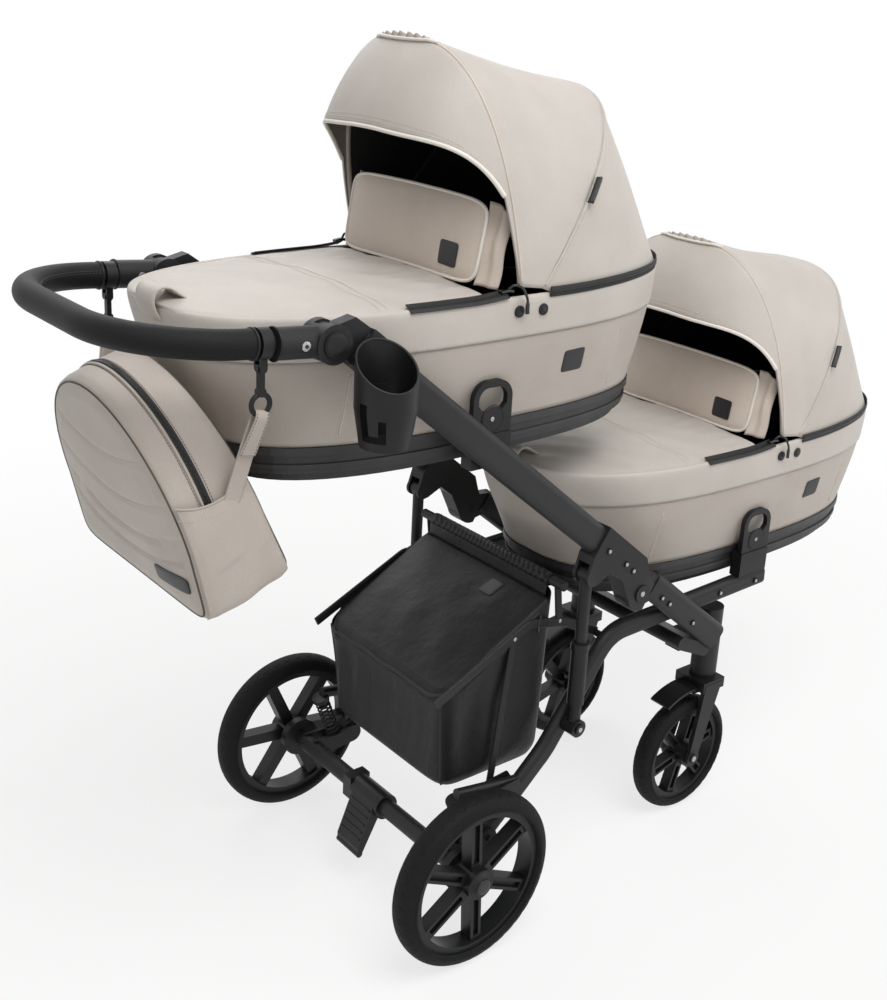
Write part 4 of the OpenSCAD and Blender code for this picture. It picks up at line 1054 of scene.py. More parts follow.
def side_patch(c, s):
    """The plain patch on the tub's right side: it lies on the panel and leans with it."""
    x, h = SIDE_X + 0.0225*c, SIDE_H + PATCH_HALF*s
    inset = np.interp(h, PANEL[:, 3], PANEL[:, 2])
    near = np.interp((SIDE_H - 0.001, SIDE_H + 0.001), PANEL[:, 3], PANEL[:, 2])
    lean = (near[1] - near[0])/0.002
    y = -(HALF - inset)*(1 - np.abs((x - MIDDLE)/REACH)**ROUND)**(1/ROUND)
    middle = xyz(x, y - 0.0006, BASE + h)
    return middle, np.broadcast_to(unit(np.array((0.02, -1.0, lean))), middle.shape)


def moved(at, move):
    """A pad's middle points and normals, carried to a cot's place."""
    def there(c, s):
        middle, normal = at(c, s)
        return middle + move, normal
    return there


flap_phi = turns(220)
flap_rim = flap_at(0.995*sup(np.cos(flap_phi), FLAP_CORNER), 0.985*sup(np.sin(flap_phi), FLAP_CORNER))[0]
for cot, move in COTS.items():
    on_flap = cot + "_wind_flap"
    # The wind pad's taupe is painted lighter than its own colour: painted light against the shade under the
    # hood.
    flap = pad(cot + "_wind_pad", moved(flap_at, move), FLAP_THICK, corner=FLAP_CORNER, lump=flap_crease,
               finish="taupe_painted_light", body=on_flap, slot="taupe_cloth")
    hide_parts(cot + "_flap")
    edge = curve(flap_rim + move, 260, closed=True) - (0.0016, 0, 0)
    cord(cot + "_wind_piping", edge, FLAP_PIPING, (-1, 0, 0.12), "cream_piping", on_flap, closed=True)
    for side, sign in RIGHT_LEFT:
        k, w = crossed(np.linspace(0, 1, 26), np.linspace(0, 1, 17))
        y = sign*(0.1555 + 0.0280*w)
        fold = 0.0055*np.sin(w*np.pi*2.0)*(0.5 + 0.5*k)
        x = 0.025 + 0.022*k + 0.021*w + fold + 0.002*np.sin(9*k)
        z = flap_foot(y) + 0.002 + (RIM + 0.126 - 0.014*w - flap_foot(y))*k
        gusset = surface("%s_wind_gusset_%s" % (cot, side), xyz(x, y, z) + move, body=on_flap,
                         finish="taupe_painted_light", slot="taupe_cloth", away=np.array((0.3, 0, 1.1)) + move)
        wall(gusset, 0.002)
    pad(cot + "_wind_patch", moved(flap_patch, move), 0.0016, body=on_flap, **PATCH)
    pad(cot + "_side_patch", moved(side_patch, move), 0.0014, body=cot + "_cot", **PATCH)
print("wind flaps made")

# %% mattress
BED_X, BED_LONG, BED_WIDE, BED_UP, BED_THICK = 0.0640, 0.346, 0.1470, 0.0365, 0.050


def bed_at(c, s):
    """Middle points of the mattress, level in the tub."""
    middle = xyz(BED_X + BED_LONG*c, BED_WIDE*s, BASE + BED_UP)
    return middle, np.broadcast_to((0.0, 0.0, 1.0), middle.shape)


def quilt(c, s):
    """Diamond quilting: the pad thins along two sets of slanting lines."""
    lines = np.minimum(np.abs(np.sin(14*c + 5*s)), np.abs(np.sin(14*c - 5*s)))
    return 0.90 + 0.10*np.clip(lines/0.25, 0, 1)


for cot, move in COTS.items():
    bed = pad(cot + "_bed_pad", moved(bed_at, move), BED_THICK, corner=2.7, count=200, rings_=40, edge=8.0,
              lump=quilt, finish="cot_cotton", body=cot + "_cot", slot="mattress_cloth")
    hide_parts(cot + "_mattress")
print("mattresses made")

# %% [markdown]
# ## Hood trim
# The visor's front edge has a cream binding, a fine cord covers each hoop seam, a vent of gathered
# mesh sits behind a slot on top of the front hoop, a small bare tag is sewn into the rear seam, and
# a black zip joins the back panel to the tub. All of them follow lines that the panels already have.

# %% bindings and seams
ZIP_UP, ZIP_OUT, ZIP_WIDE = 0.0100, 0.0030, 0.0150
THREAD_OUT, CORD_OUT = 0.0003, 0.0002
TAG_WIDE, TAG_LONG, TAG_OUT = 0.0016, 0.0120, 0.0045
EDGE_A = np.linspace(21, 159, 150)
SEAM_A = np.linspace(3, 177, 200)
TAG_A = np.linspace(21.8, 29.6, 12)
ZIP_A = np.interp(np.linspace(0, 16, 160), np.arange(17), HOOP_A)


def hood_seam(shape, a, t, move):
    """A line of a hood panel at share t, and the way out from the hood's heart along it."""
    line = shape(a, np.broadcast_to(t, a.shape)) + move
    return line, unit(line - HOOD_HEART - move)


for cot, move in COTS.items():
    on_cot, on_bow = cot + "_cot", cot + "_bow"
    line, out = hood_seam(visor_at, EDGE_A, 1.0, move)
    cord(cot + "_visor_binding", line - out*0.0018, 0.0036, out, "cream_piping", on_bow, 220, 10, 0.8)
    for number, share in enumerate((0.945, 0.905)):
        line, out = hood_seam(visor_at, EDGE_A, share, move)
        stitches("%s_visor_stitch_%d" % (cot, number), line + out*THREAD_OUT, out, on_bow)
    line, out = hood_seam(visor_at, SEAM_A, 0.035, move)
    cord(cot + "_front_hoop_cord", line + out*CORD_OUT, 0.0017, out, "taupe_painted_light", on_bow, 260)
    line, out = hood_seam(visor_at, SEAM_A, 0.0, move)
    cord(cot + "_front_hoop_channel", line - out*0.0036, 0.0052, out, "greige_leather", on_bow, 200, 10, 0.7)
    line, out = hood_seam(back_at, SEAM_A, 0.012, move)
    cord(cot + "_rear_hoop_cord", line + out*CORD_OUT, 0.0019, out, "greige_leather", on_cot, 240)
    line, out = hood_seam(back_at, SEAM_A, 0.05, move)
    stitches(cot + "_rear_stitch", line + out*THREAD_OUT, out, on_cot)
    fall = np.linalg.norm(back_at(ZIP_A, np.zeros(160)) - back_at(ZIP_A, np.ones(160)), axis=-1)
    low = back_at(ZIP_A, 1 - ZIP_UP/fall) + move
    out = unit((low - HOOD_HEART - move)*(1, 1, 0.15))
    zip_line(cot + "_rear_zip", curve(low + out*ZIP_OUT, 240), out, ZIP_WIDE, on_cot)
    line, out = hood_seam(back_at, TAG_A, 0.006, move)
    tilt = unit(out + np.array((0.35, 0, 0.1)))
    sweep(cot + "_seam_tag", line + tilt*TAG_OUT, flat_section(TAG_WIDE, TAG_LONG), tilt,
          finish="patch_rubber", body=on_cot)
print("hood trim made")

# %% vent
span = np.linspace(-1, 1, 90)
vent_a = 90 + 13.5*span
vent_mouth = 1 - span**2
vent_t = np.linspace(0, 1, 14)[:, None]
gather = 0.0042*np.sin(34*span + 1.3*np.sin(9*span))[None]*np.sin(np.pi*vent_t)
vent_rise = 0.0022 + gather*vent_mouth[None] + 0.0035*np.sin(np.pi*vent_t)*vent_mouth[None]
for cot, move in COTS.items():
    low, out = hood_seam(visor_at, vent_a, 0.030 + 0.085*vent_mouth, move)
    high = hood_seam(visor_at, vent_a, 0.028, move)[0]
    cord(cot + "_vent_lip", low + out*0.0026, 0.0024, out, "cream_piping", cot + "_bow", 110)
    rows = high[None] + (low - high)[None]*vent_t[..., None]
    rows = rows + unit(rows - HOOD_HEART - move)*vent_rise[..., None]
    surface(cot + "_vent_mesh", rows, finish="vent_mesh", body=cot + "_bow", away=HOOD_HEART + move)
print("vents made")

# %% [markdown]
# ## Changing bag
# The bag is a padded body with a quilted front, a zip over its top, an open pocket at each side and
# two straps to the snap hooks. Its outline is a half ellipse over a squarer lower half. The outline is
# inset a little at the front and back, so the edges are round, and the front is stitched in.

# %% bag body
BAG_TOP = np.array((-0.4462 - REAR, 0.0, 0.9631))
BAG_HALF, BAG_HIGH, BAG_DEEP = 0.186, 0.307, 0.133
BAG_LEAN = math.radians(19.5)
BAG_WAIST = -0.65*BAG_HIGH
FACE_MID = -0.168
GUSSET_F = np.array((-1, -0.96, -0.75, 0, 0.75, 0.96, 1))
GUSSET_IN = np.array((0.009, 0.004, 0.001, 0, 0.001, 0.004, 0.009))
QUILTING = ((-0.098, 0.0010), (-0.162, 0.0012), (-0.214, 0.0016), (-0.246, 0.0018))
QUILT_BOW = 1.25
CROWN = 0.0050
BADGE_Y, BADGE_Z = -0.116, -0.254


def bag_place(x, y, z):
    """From the bag's own axes, x to the back and z up from its top, to the pram's: it leans 19.5 degrees."""
    c, s = math.cos(BAG_LEAN), math.sin(BAG_LEAN)
    return xyz(BAG_TOP[0] + x*c - z*s, y, BAG_TOP[2] + x*s + z*c)


def bag_rim(a, inset):
    """The outline at angle a: an ellipse above and a superellipse of power 12 below."""
    c, s = np.cos(a), np.sin(a)
    c, s = np.where(s < 0, sup(c, 12), c), np.where(s < 0, sup(s, 12), s)
    return (BAG_HALF - inset)*c, BAG_WAIST + (np.where(s > 0, 0.65, 0.35)*BAG_HIGH - inset)*s, s


def bag_depth(s):
    """Half the depth: the bag is deeper at its foot, where s is -1, than at its top."""
    return BAG_DEEP/2*(0.85 - 0.15*s)


def bag_at(a, f, puff=0.0):
    """Points of the gusset: f is -1 at the front and 1 at the back, puff stands off outwards."""
    inset = np.interp(f, GUSSET_F, GUSSET_IN) - puff
    y, z, s = bag_rim(a, inset)
    return bag_place(f*bag_depth(s), y, z)


def quilting(y, z, g):
    """How far the front stands out: a low crown, pressed in along seams that bow down in the middle."""
    puff = CROWN*(1 - g**2)
    for level, depth in QUILTING:
        groove = np.exp(-((z - level - QUILT_BOW*y**2)/0.0050)**2)
        puff = puff + depth*(0.5 - 1.5*groove)*np.clip((1 - g)/0.12, 0, 1)
    return puff


fine_a = np.linspace(0, 2*np.pi, 4001)
fine_rim = np.stack(bag_rim(fine_a, 0)[:2], -1)
bag_walk = walked(fine_rim)
bag_a = even(fine_rim, fine_a, 220)
rim_y, rim_z, rim_s = bag_rim(bag_a, GUSSET_IN[0])
rim_turn = np.arctan2(rim_z - FACE_MID, rim_y)
rim_order = np.argsort(rim_turn)


def face_share(y, z):
    """How far (y, z) lies out to the outline, from 0 to 1, and the outline's height value there."""
    turn = np.arctan2(z - FACE_MID, y)
    reach = np.hypot(rim_y, rim_z - FACE_MID)
    reach, s = (np.interp(turn, rim_turn[rim_order], k[rim_order], period=2*np.pi) for k in (reach, rim_s))
    return np.hypot(y, z - FACE_MID)/reach, s


def front_at(y, z, stand):
    """The point of the quilted front over (y, z), standing off by a little."""
    g, s = face_share(y, z)
    return bag_place(-bag_depth(s*g) - quilting(y, z, g) - stand, y, z)


def bag_face(g, front):
    """A face, shrunk towards its middle as g falls from 1 to 0."""
    y, z = rim_y*g, FACE_MID + (rim_z - FACE_MID)*g
    puff = quilting(y, z, g) if front else CROWN*(1 - g**2)
    return bag_place((-1 if front else 1)*(bag_depth(rim_s*g) + puff), y, z)


BAG_HEART = bag_place(0.0, 0.0, -0.15)
BAG_FRONT = bag_place(-1, 0, 0) - bag_place(0, 0, 0)
profile = curve(np.stack([GUSSET_F*BAG_DEEP/2, GUSSET_IN], -1), 40)[:, :1]
g = np.linspace(0.02, 1, 60)[:, None]
belt = bag_at(bag_a[None], profile/(BAG_DEEP/2))
low = np.clip(-np.sin(bag_a) - 0.1, 0, 1)*np.clip(1 - np.abs(profile)/0.06, 0, 1)
belt = belt + (0.0014*np.sin(17*bag_a + 60*profile)*low)[..., None]*unit(belt - BAG_HEART)
P = np.concatenate([bag_face(g, True)[:-1], belt, bag_face(g[::-1], False)[1:]])
rows, cols = P.shape[:2]
# The bag takes the darker greige, which is painted shade.
bag_shell = surface("bag_shell", P, ring_cols=True, finish="greige_painted_shade", body="bag_body",
                    slot="greige_cloth", away=BAG_HEART)
for side, hole in (("front", P[0]), ("back", P[-1])):
    fan = [(0, 1 + k, 1 + (k + 1) % cols) for k in range(cols)]
    piece("bag_middle_" + side, np.concatenate([[hole.mean(0)], hole]), fan, finish="greige_painted_shade",
          body="bag_body", away=BAG_HEART)
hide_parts("bag")
print("bag", rows, "by", cols)

# %% bag seams and zip
for side, f in (("front", -0.99), ("back", 0.99)):
    line = bag_at(bag_a, np.full_like(bag_a, f))
    out = unit(line - bag_place(f*0.05, 0.0, -0.15))
    cord("bag_%s_seam" % side, line, 0.0015, out, "dark_thread", "bag_body", 320, closed=True)
zip_a = np.linspace(math.radians(14), math.radians(166), 220)
zip_f = -0.25 + 0.18*np.sin(zip_a)
zip_path = bag_at(zip_a, zip_f, 0.0012)
zip_out = unit(zip_path - bag_place(-0.015, 0.0, -0.16))
zip_line("bag_zip", zip_path, zip_out, 0.0125, "bag_body")
for number, step in enumerate((-0.19, 0.17)):
    line = bag_at(zip_a, zip_f + step, 0.0006)
    stitches("bag_zip_stitch_%d" % number, line, zip_out, "bag_body", "dark_thread")
welt = bag_at(zip_a, zip_f - 0.115, 0.0008)
cord("bag_zip_welt", welt, 0.0022, zip_out, "greige_painted_shade", "bag_body", 240)
for number, (level, _) in enumerate(QUILTING):
    y = np.linspace(-0.175, 0.175, 120)
    z = level + QUILT_BOW*y**2
    inside = face_share(y, z)[0] < 0.94
    stitches("bag_quilt_%d" % number, front_at(y, z, THREAD_UP)[inside], BAG_FRONT, "bag_body")


def badge_here(c, s):
    """The plain badge low on the front, slanted a little, standing on the unquilted crown."""
    y = BADGE_Y + 0.046*c
    z = BADGE_Z - 0.105*(y - BADGE_Y) + 0.0125*s
    share, height = face_share(y, z)
    middle = bag_place(-bag_depth(height*share) - CROWN*(1 - share**2) - 0.0034, y, z)
    return middle, np.broadcast_to(BAG_FRONT, middle.shape)


pad("bag_badge", badge_here, 0.0046, corner=7.0, count=80, rings_=8, finish="patch_rubber", body="bag_body")
print("bag seams made")

# %% side pockets and straps
HANG_X, BAR_Y, HOOK_Z = -0.3512 - REAR, 0.211, 0.9531
TUCK_X, TUCK_Y, TUCK_Z = -0.3805 - REAR, 0.1858, 0.8139
STRAP_LOOP = ((0.139, 0), (0.060, -0.0030), (0.012, -0.0050), (0, -0.0050), (-0.0050, 0), (0, 0.0050),
              (0.012, 0.0052), (0.056, 0.0008))
for side, sign in RIGHT_LEFT:
    f = np.linspace(-0.955, 0.955, 36)[None]
    t = np.linspace(0, 1, 44)[:, None]
    mouth_a = np.pi - np.arcsin((-0.146 + 0.0175*f**2 - BAG_WAIST)/-BAG_WAIST)
    start = np.interp(mouth_a, fine_a, bag_walk)
    end = np.interp(math.radians(226), fine_a, bag_walk)
    a = np.interp(start + (end - start)*t, bag_walk, fine_a)
    stand = 0.0020 + 0.0060*(1 - t)**2*(1 - f**4) + 0.0012*np.sin(5*f + 9*t)*(1 - f**2)
    P = bag_at(a, np.broadcast_to(f, a.shape), stand)*(1, -sign, 1)
    pocket = surface("bag_pocket_" + side, P, finish="greige_painted_shade", body="bag_body", slot="greige_cloth",
                     away=bag_place(0.0, 0.0, -0.2))
    wall(pocket, 0.0018)
    cord("bag_pocket_edge_" + side, P[0], 0.0014, (0, sign, 0.3), "greige_painted_shade", "bag_body", 60)
    stitches("bag_pocket_stitch_" + side, P[4] + (0, sign*THREAD_UP, 0), (0, sign, 0.1), "bag_body")
    wire = np.array((HANG_X, sign*BAR_Y, HOOK_Z - 0.013))
    down = unit(np.array((TUCK_X, sign*TUCK_Y, TUCK_Z)) - wire)
    out = unit(np.array((0, sign, 0)) - down*sign*down[1])
    line = curve([wire + down*run + out*off for run, off in STRAP_LOOP], 90)
    wide = np.interp(np.linspace(0, 1, 90), (0, 0.45, 0.72, 1), (0.0240, 0.0220, 0.0180, 0.0220))
    across = unit(np.cross(down, out))
    v = np.linspace(-0.5, 0.5, 9)
    P = line[:, None] + across*(wide[:, None]*v)[..., None]
    strap = surface("bag_strap_" + side, P, finish="greige_painted_shade", body="bag_body", slot="greige_cloth")
    wall(strap, 0.0024, 0.0)
    if side == "right":
        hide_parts("bag_straps")
    for edge, tag in ((-0.42, "fore"), (0.42, "aft")):
        seam = (line + across*(wide*edge)[:, None])[58:] + out*0.0014
        stitches("bag_strap_stitch_%s_%s" % (side, tag), seam, out, "bag_body", "dark_thread")
print("pockets and straps made")

# %% [markdown]
# ## Basket
# The basket is a slack cloth box hung from flat bars, with a zipped lid sewn to a sleeve on the cross
# bar. A cloth simulation would settle it anew each time, so its slackness is drawn: the floor sags, the
# sides fall in under the bars, and low waves run down the walls. The lid is thin padding with a crown.

# %% basket body
NET_BACK, NET_FRONT, NET_HALF, NET_FLOOR = 0.002 - REAR, 0.240 - REAR, 0.163, 0.230
NET_ROUND = 9
BAR_X, BAR_Z = 0.229 - REAR, 0.548
LID_DROP, LID_CLIMB = 0.150, 0.56


def lid_height(x):
    """The slope that the lid lies on: it climbs 0.56 for each unit forward."""
    return BAR_Z - LID_DROP + (x - NET_BACK)*LID_CLIMB


def net_at(a, f):
    """Wall points: a goes round, f is 0 at the floor and 1 at the lid."""
    back, front = NET_BACK + 0.018*(1 - f), NET_FRONT - 0.004*(1 - f)
    half = NET_HALF - 0.010*(1 - f)
    c, s = sup(np.cos(a), NET_ROUND), sup(np.sin(a), NET_ROUND)
    tuck = 0.007*np.clip(1 - f/0.10, 0, 1)**2
    slack = np.sin(np.pi*np.clip(f, 0, 1))
    side = np.abs(s)**12
    rear = np.clip(-c, 0, 1)**12
    x = (back + front)/2 + ((front - back)/2 - tuck)*c
    fold = 0.014*slack*side*np.exp(-((x - NET_BACK - 0.070)/0.026)**2)
    fold = fold + 0.0032*slack*side*np.sin(46*(x - NET_BACK) + 3*f)
    sink = rear*slack*(0.0075*(1 - s**2) + 0.0030*np.sin(19*s + 4*f))
    y = (half - tuck - fold)*s
    top = lid_height(x)
    droop = 0.006*slack*np.abs(np.sin(2*a))
    z = NET_FLOOR + f*(top - NET_FLOOR) - droop*(1 - f)
    return xyz(x + sink, y, z)


def corner_line(a, low, high, middle):
    """A line up the basket's wall at angle a, and the level way out from its middle along it."""
    f = np.linspace(low, high, 60)
    line = net_at(np.full_like(f, a), f)
    return line, unit((line - middle)*(1, 1, 0))


net_fine = np.linspace(0, 2*np.pi, 4001)
net_long = (NET_FRONT - NET_BACK)/2
net_line = sup(np.stack([np.cos(net_fine), np.sin(net_fine)], -1), NET_ROUND)*(net_long, NET_HALF)
net_a = even(net_line, net_fine, 220)[None]
net_f = np.concatenate([np.linspace(0, 0.1, 8)[:-1], np.linspace(0.1, 1, 34)])[:, None]
walls = net_at(net_a, net_f)
g = np.linspace(0.02, 1, 18)[:-1, None]
middle = np.array((NET_BACK + 0.128, 0.0, NET_FLOOR))
sag = 0.010*(1 - g**2) + 0.0018*np.sin(5*net_a + 9*g)*g*(1 - g)
floor_rings = middle + (walls[:1] - middle)*g[..., None] - sag[..., None]*np.array((0, 0, 1))
P = np.concatenate([floor_rings, walls])
net = surface("basket_cloth_body", P, ring_cols=True, finish="basket_cloth", body="chassis",
              slot="black_cloth", away=middle + (0, 0, 0.1))
wall(net, 0.0022)
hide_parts("basket")
for degrees in (135, 225):
    corner = math.radians(degrees)
    for number, shift in enumerate((-0.012, 0.012)):
        line, out = corner_line(corner + shift, 0.03, 0.985, middle)
        stitches("basket_corner_stitch_%d_%d" % (degrees, number), line + out*THREAD_UP, out, "chassis",
                 "dark_thread")
    line, out = corner_line(corner, 0.01, 0.99, middle)
    cord("basket_corner_cord_%d" % degrees, line, 0.0022, out, "webbing", "chassis", 80)
print("basket body", P.shape)

# %% basket lid
LID_FRONT, LID_BACK = 0.2176 - REAR, 0.002 - REAR
LID_PATCH_X, LID_PATCH_Y, LID_PATCH_HALF = 0.184 - REAR, -0.059, 0.0165
SLEEVE_HALF, SLEEVE_R = 0.151, 0.0108


def lid_at(u, v):
    """Lid points: u is 0 at the bar and 1 at the rear edge, v goes across. The rear corners are round,
    and the edge falls over the basket's walls."""
    x = LID_FRONT + (LID_BACK - LID_FRONT)*u
    x = x + 0.030*np.clip(np.abs(v) - 0.80, 0, 1)**2/0.04*np.clip(u - 0.7, 0, 1)/0.3
    y = (NET_HALF - 0.001)*v
    crown = 0.0095*(1 - v*v)*np.sin(np.radians(162*np.minimum(1, u*1.1) + 9))
    puff = 0.0045*np.sin(np.pi*u)*(1 - v**4) + 0.0016*np.sin(11*v + 5*u)*np.sin(7*u)*(1 - v**2)
    edge = 0.0075*np.clip((u - 0.93)/0.07, 0, 1)**2 + 0.0060*np.clip((np.abs(v) - 0.95)/0.05, 0, 1)**2
    return xyz(x, y, lid_height(x) + 0.0034 + crown + puff - edge)


def lid_patch(c, s):
    """The plain patch on the lid, a square that lies on its slope."""
    u = (LID_FRONT - LID_PATCH_X - LID_PATCH_HALF*s)/(LID_FRONT - LID_BACK)
    slope = unit(np.array((-0.49, 0.0, 0.87)))
    spot = lid_at(u, (LID_PATCH_Y + LID_PATCH_HALF*c)/NET_HALF)
    return spot + slope*0.0006, np.broadcast_to(slope, spot.shape)


u, v = crossed(np.linspace(0, 1, 44), np.sin(np.linspace(-1, 1, 57)*np.pi/2))
lid = surface("basket_lid_cloth", lid_at(u, v), finish="basket_cloth", body="lid", slot="black_cloth",
              away=middle)
wall(lid, 0.0026)
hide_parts("basket_lid")
near = lid_at(np.linspace(0.10, 0.93, 60), np.full(60, -1.0))
rear = lid_at(np.full(70, 0.985), np.linspace(-0.93, 0.93, 70))
far = lid_at(np.linspace(0.93, 0.10, 60), np.full(60, 1.0))
hem = curve(np.concatenate([near[::4], rear[::5], far[::4]]), 320)
out = unit((hem - middle)*(1, 1, 0.2))
cord("basket_lid_cord", hem + out*0.0004, 0.0030, out, "webbing", "lid", sides=10)
zip_line("basket_zip", hem + out*0.0006 - (0, 0, 0.0070), out, 0.011, "lid")
inner = lid_at(np.full(70, 0.93), np.linspace(-0.86, 0.86, 70))
stitches("basket_lid_stitch", inner + (0, 0, THREAD_UP), (-0.4, 0, 1), "lid", "dark_thread")
for (side, sign), end in zip(RIGHT_LEFT, (hem[0], hem[-1])):
    pull = end + [(0, sign*0.004, -0.004), (-0.004, sign*0.007, -0.016), (-0.005, sign*0.006, -0.032)]
    cord("basket_zip_pull_" + side, pull, 0.0017, (0, sign, 0), "gloss_black", "lid", 20)
pad("basket_patch", lid_patch, 0.0016, body="lid", **PATCH)
print("lid made")

# %% lid sleeve and hinge
run, turn = crossed(np.linspace(-SLEEVE_HALF, SLEEVE_HALF, 130), turns(26))
gather = 0.0008*np.sin(310*run + 2.1*np.sin(3*turn) + 40*np.sin(9*run))
r = SLEEVE_R + gather - 0.0007*np.clip((np.abs(run) - 0.146)/0.005, 0, 1)
P = xyz(BAR_X + r*np.cos(turn), run, BAR_Z + r*np.sin(turn))
sleeve = surface("basket_sleeve", P, ring_cols=True, finish="basket_cloth", body="lid",
                 away=(BAR_X, 0, BAR_Z))
wall(sleeve, 0.0012)
u, v = crossed(np.linspace(0, 1, 10), np.linspace(-SLEEVE_HALF, SLEEVE_HALF, 90))
top = np.array((BAR_X - 0.0095, 0.0, BAR_Z - 0.0040))
foot = np.array((LID_FRONT + 0.001, 0.0, lid_height(LID_FRONT) + 0.0050))
ripple = 0.0010*np.sin(220*v + 3*np.sin(31*v))*np.sin(np.pi*u)
P = top + (foot - top)*u[..., None] + xyz(0.0, v, ripple)
skirt = surface("basket_lid_hinge", P, finish="basket_cloth", body="lid", away=middle)
wall(skirt, 0.0016)
print("sleeve and hinge made")

# %% [markdown]
# ## Handle, cup holder and small sewn things
# The grip is a leather tube closed by a sewn seam along its inner side, with a rolled edge at each
# end. The seam follows the same U as the bar: two straight arms, two quarter circles and a cross piece.

# %% grip seam and joints
KNUCKLE = np.array((-0.26146 - REAR, 0.0, 1.02301))
REACH_U, CORNER_U, BAR_RISE, GRIP_R = 0.256, 0.145, math.radians(4.5), 0.019
SEAM_IN = GRIP_R*0.92
TUBE_Y = 0.217
GRIP_ENDS = ((0.1035, BAR_Y, 0.0192), (0.0765, TUBE_Y, 0.0206))
GRIP_THREAD = (0.0036, 0.0010, 0.0011)


def bar_place(u, y, up_=0.0):
    """A point on the bar: u behind the knuckle, y across, and so far square to the bar's plane."""
    c, s = math.cos(BAR_RISE), math.sin(BAR_RISE)
    return xyz(KNUCKLE[0] - u*c + up_*s, y, KNUCKLE[2] + u*s + up_*c)


quarter = np.linspace(0, np.pi/2, 40)[1:-1]
arm_u = np.linspace(0.104, REACH_U - CORNER_U, 30)
bend_u = REACH_U - CORNER_U + (CORNER_U - SEAM_IN)*np.sin(quarter)
bend_y = BAR_Y - CORNER_U + (CORNER_U - SEAM_IN)*np.cos(quarter)
cross_y = np.linspace(BAR_Y - CORNER_U, CORNER_U - BAR_Y, 60)
arm_y = np.full(30, BAR_Y - SEAM_IN)
seam_u = np.concatenate([arm_u, bend_u, np.full(60, REACH_U - SEAM_IN), bend_u[::-1], arm_u[::-1]])
seam_y = np.concatenate([arm_y, bend_y, cross_y, -bend_y[::-1], -arm_y])
inward_ = unit(xyz(1.0, -3*seam_y, 0.4))
for step in (0.0065, 0.0095):
    stitches("grip_stitch_%d" % (step*10000), bar_place(seam_u, seam_y, up_=step), inward_, "handle",
             "dark_thread", 0.0052, GRIP_THREAD)
tilt = Matrix.Rotation(BAR_RISE, 3, "Y")
turn = turns(60)
for side, sign in RIGHT_LEFT:
    for number, (u, y, r) in enumerate(GRIP_ENDS):
        loop_ = xyz(0.0, r*np.cos(turn), r*np.sin(turn))
        loop_ = np.array([tuple(tilt @ Vector(p)) for p in loop_])
        cord("grip_end_%s_%d" % (side, number), loop_ + bar_place(u, sign*y), 0.0016, unit(loop_),
             "black_plastic", "handle", closed=True)
    for face in (-1, 1):
        at = bar_place(0.042, sign*TUBE_Y + face*0.0203)
        disc("joint_rivet_%s_%d" % (side, face), at, (0, face, 0), 0.0062, 0.0016, "steel", "handle")
        disc("joint_rivet_eye_%s_%d" % (side, face), at + (0, face*0.0012, 0), (0, face, 0), 0.0026, 0.0011,
             "gloss_black", "handle")
    cap = bar_place(0.0, sign*0.2418)
    disc("knuckle_cap_" + side, cap, (0, sign, 0), 0.0150, 0.0022, "black_plastic", "handle", dome=0.5)
print("handle trim made")

# %% cup holder rim
CUP = np.array((-0.26146 + 0.050 - REAR, -0.279, 1.02301 - 0.127))
CUP_R, CUP_HIGH, CUP_LEAN, CUP_SIDE = 0.0389, 0.1030, math.radians(6.6), math.radians(32.2)
turn = turns(140)
round_ = xyz(np.cos(turn), np.sin(turn), 0.0)
rise = math.tan(CUP_LEAN)*np.cos(turn) + math.tan(CUP_SIDE)*np.sin(turn)/math.cos(CUP_LEAN)
mouth = CUP_R*round_ + xyz(0.0, 0.0, CUP_HIGH + CUP_R*rise)
cord("cup_rim", mouth + CUP, 0.0019, round_, "black_plastic", "upper_frame", sides=10, closed=True)
print("cup rim made")

# %% foot loop and panel seams
TAB_Y, TAB_WIDE = -0.009, 0.050
TAB_LINE = ((-0.3885, 1.0180), (-0.4000, 1.0300), (-0.4055, 1.0470), (-0.4000, 1.0620), (-0.3840, 1.0645),
            (-0.3640, 1.0520), (-0.3560, 1.0465))
PANEL_SEAMS = ((-0.198, -0.25, 0.22), (0.300, 0.2, -0.12))
for cot, move in COTS.items():
    on_cot = cot + "_cot"
    tab = curve(TAB_LINE, 50)
    line = xyz(tab[:, 0], TAB_Y, tab[:, 1]) + move
    v = np.linspace(-0.5, 0.5, 11)
    P = line[:, None] + xyz(0.016*v**2, TAB_WIDE*v, 0.0)[None]
    made = surface(cot + "_foot_tab", P, finish="greige_leather", body=on_cot, slot="greige_cloth",
                   away=np.array((-0.385, 0, 1.045)) + move)
    wall(made, 0.0028, 0.0)
    rows = PANEL[2:15]
    mid = (FOOT + rows[:, 0] + HEAD - rows[:, 1])/2
    reach = (HEAD - rows[:, 1] - FOOT - rows[:, 0])/2
    for side, sign in RIGHT_LEFT:
        stitches("%s_foot_tab_stitch_%s" % (cot, side), line[8:] + (0.003, sign*0.43*TAB_WIDE, 0.0016),
                 (-0.3, 0, 1), on_cot)
        for number, (x, turned, slant) in enumerate(PANEL_SEAMS):
            y = (HALF - rows[:, 2])*(1 - np.abs((x - mid)/reach)**ROUND)**(1/ROUND)
            seam = xyz(x, sign*(y + 0.0002), BASE + rows[:, 3]) + move
            out = np.array((turned, sign, -0.15))
            cord("%s_panel_seam_%s_%d" % (cot, side, number), seam, 0.0010, out, "taupe_painted_light", on_cot,
                 squash=0.6)
            for tag, step in (("aft", -0.004), ("fore", 0.004)):
                stitches("%s_panel_stitch_%s_%d_%s" % (cot, side, number, tag),
                         seam + (step, sign*step*slant, 0), out, on_cot)
print("tabs and seams made")
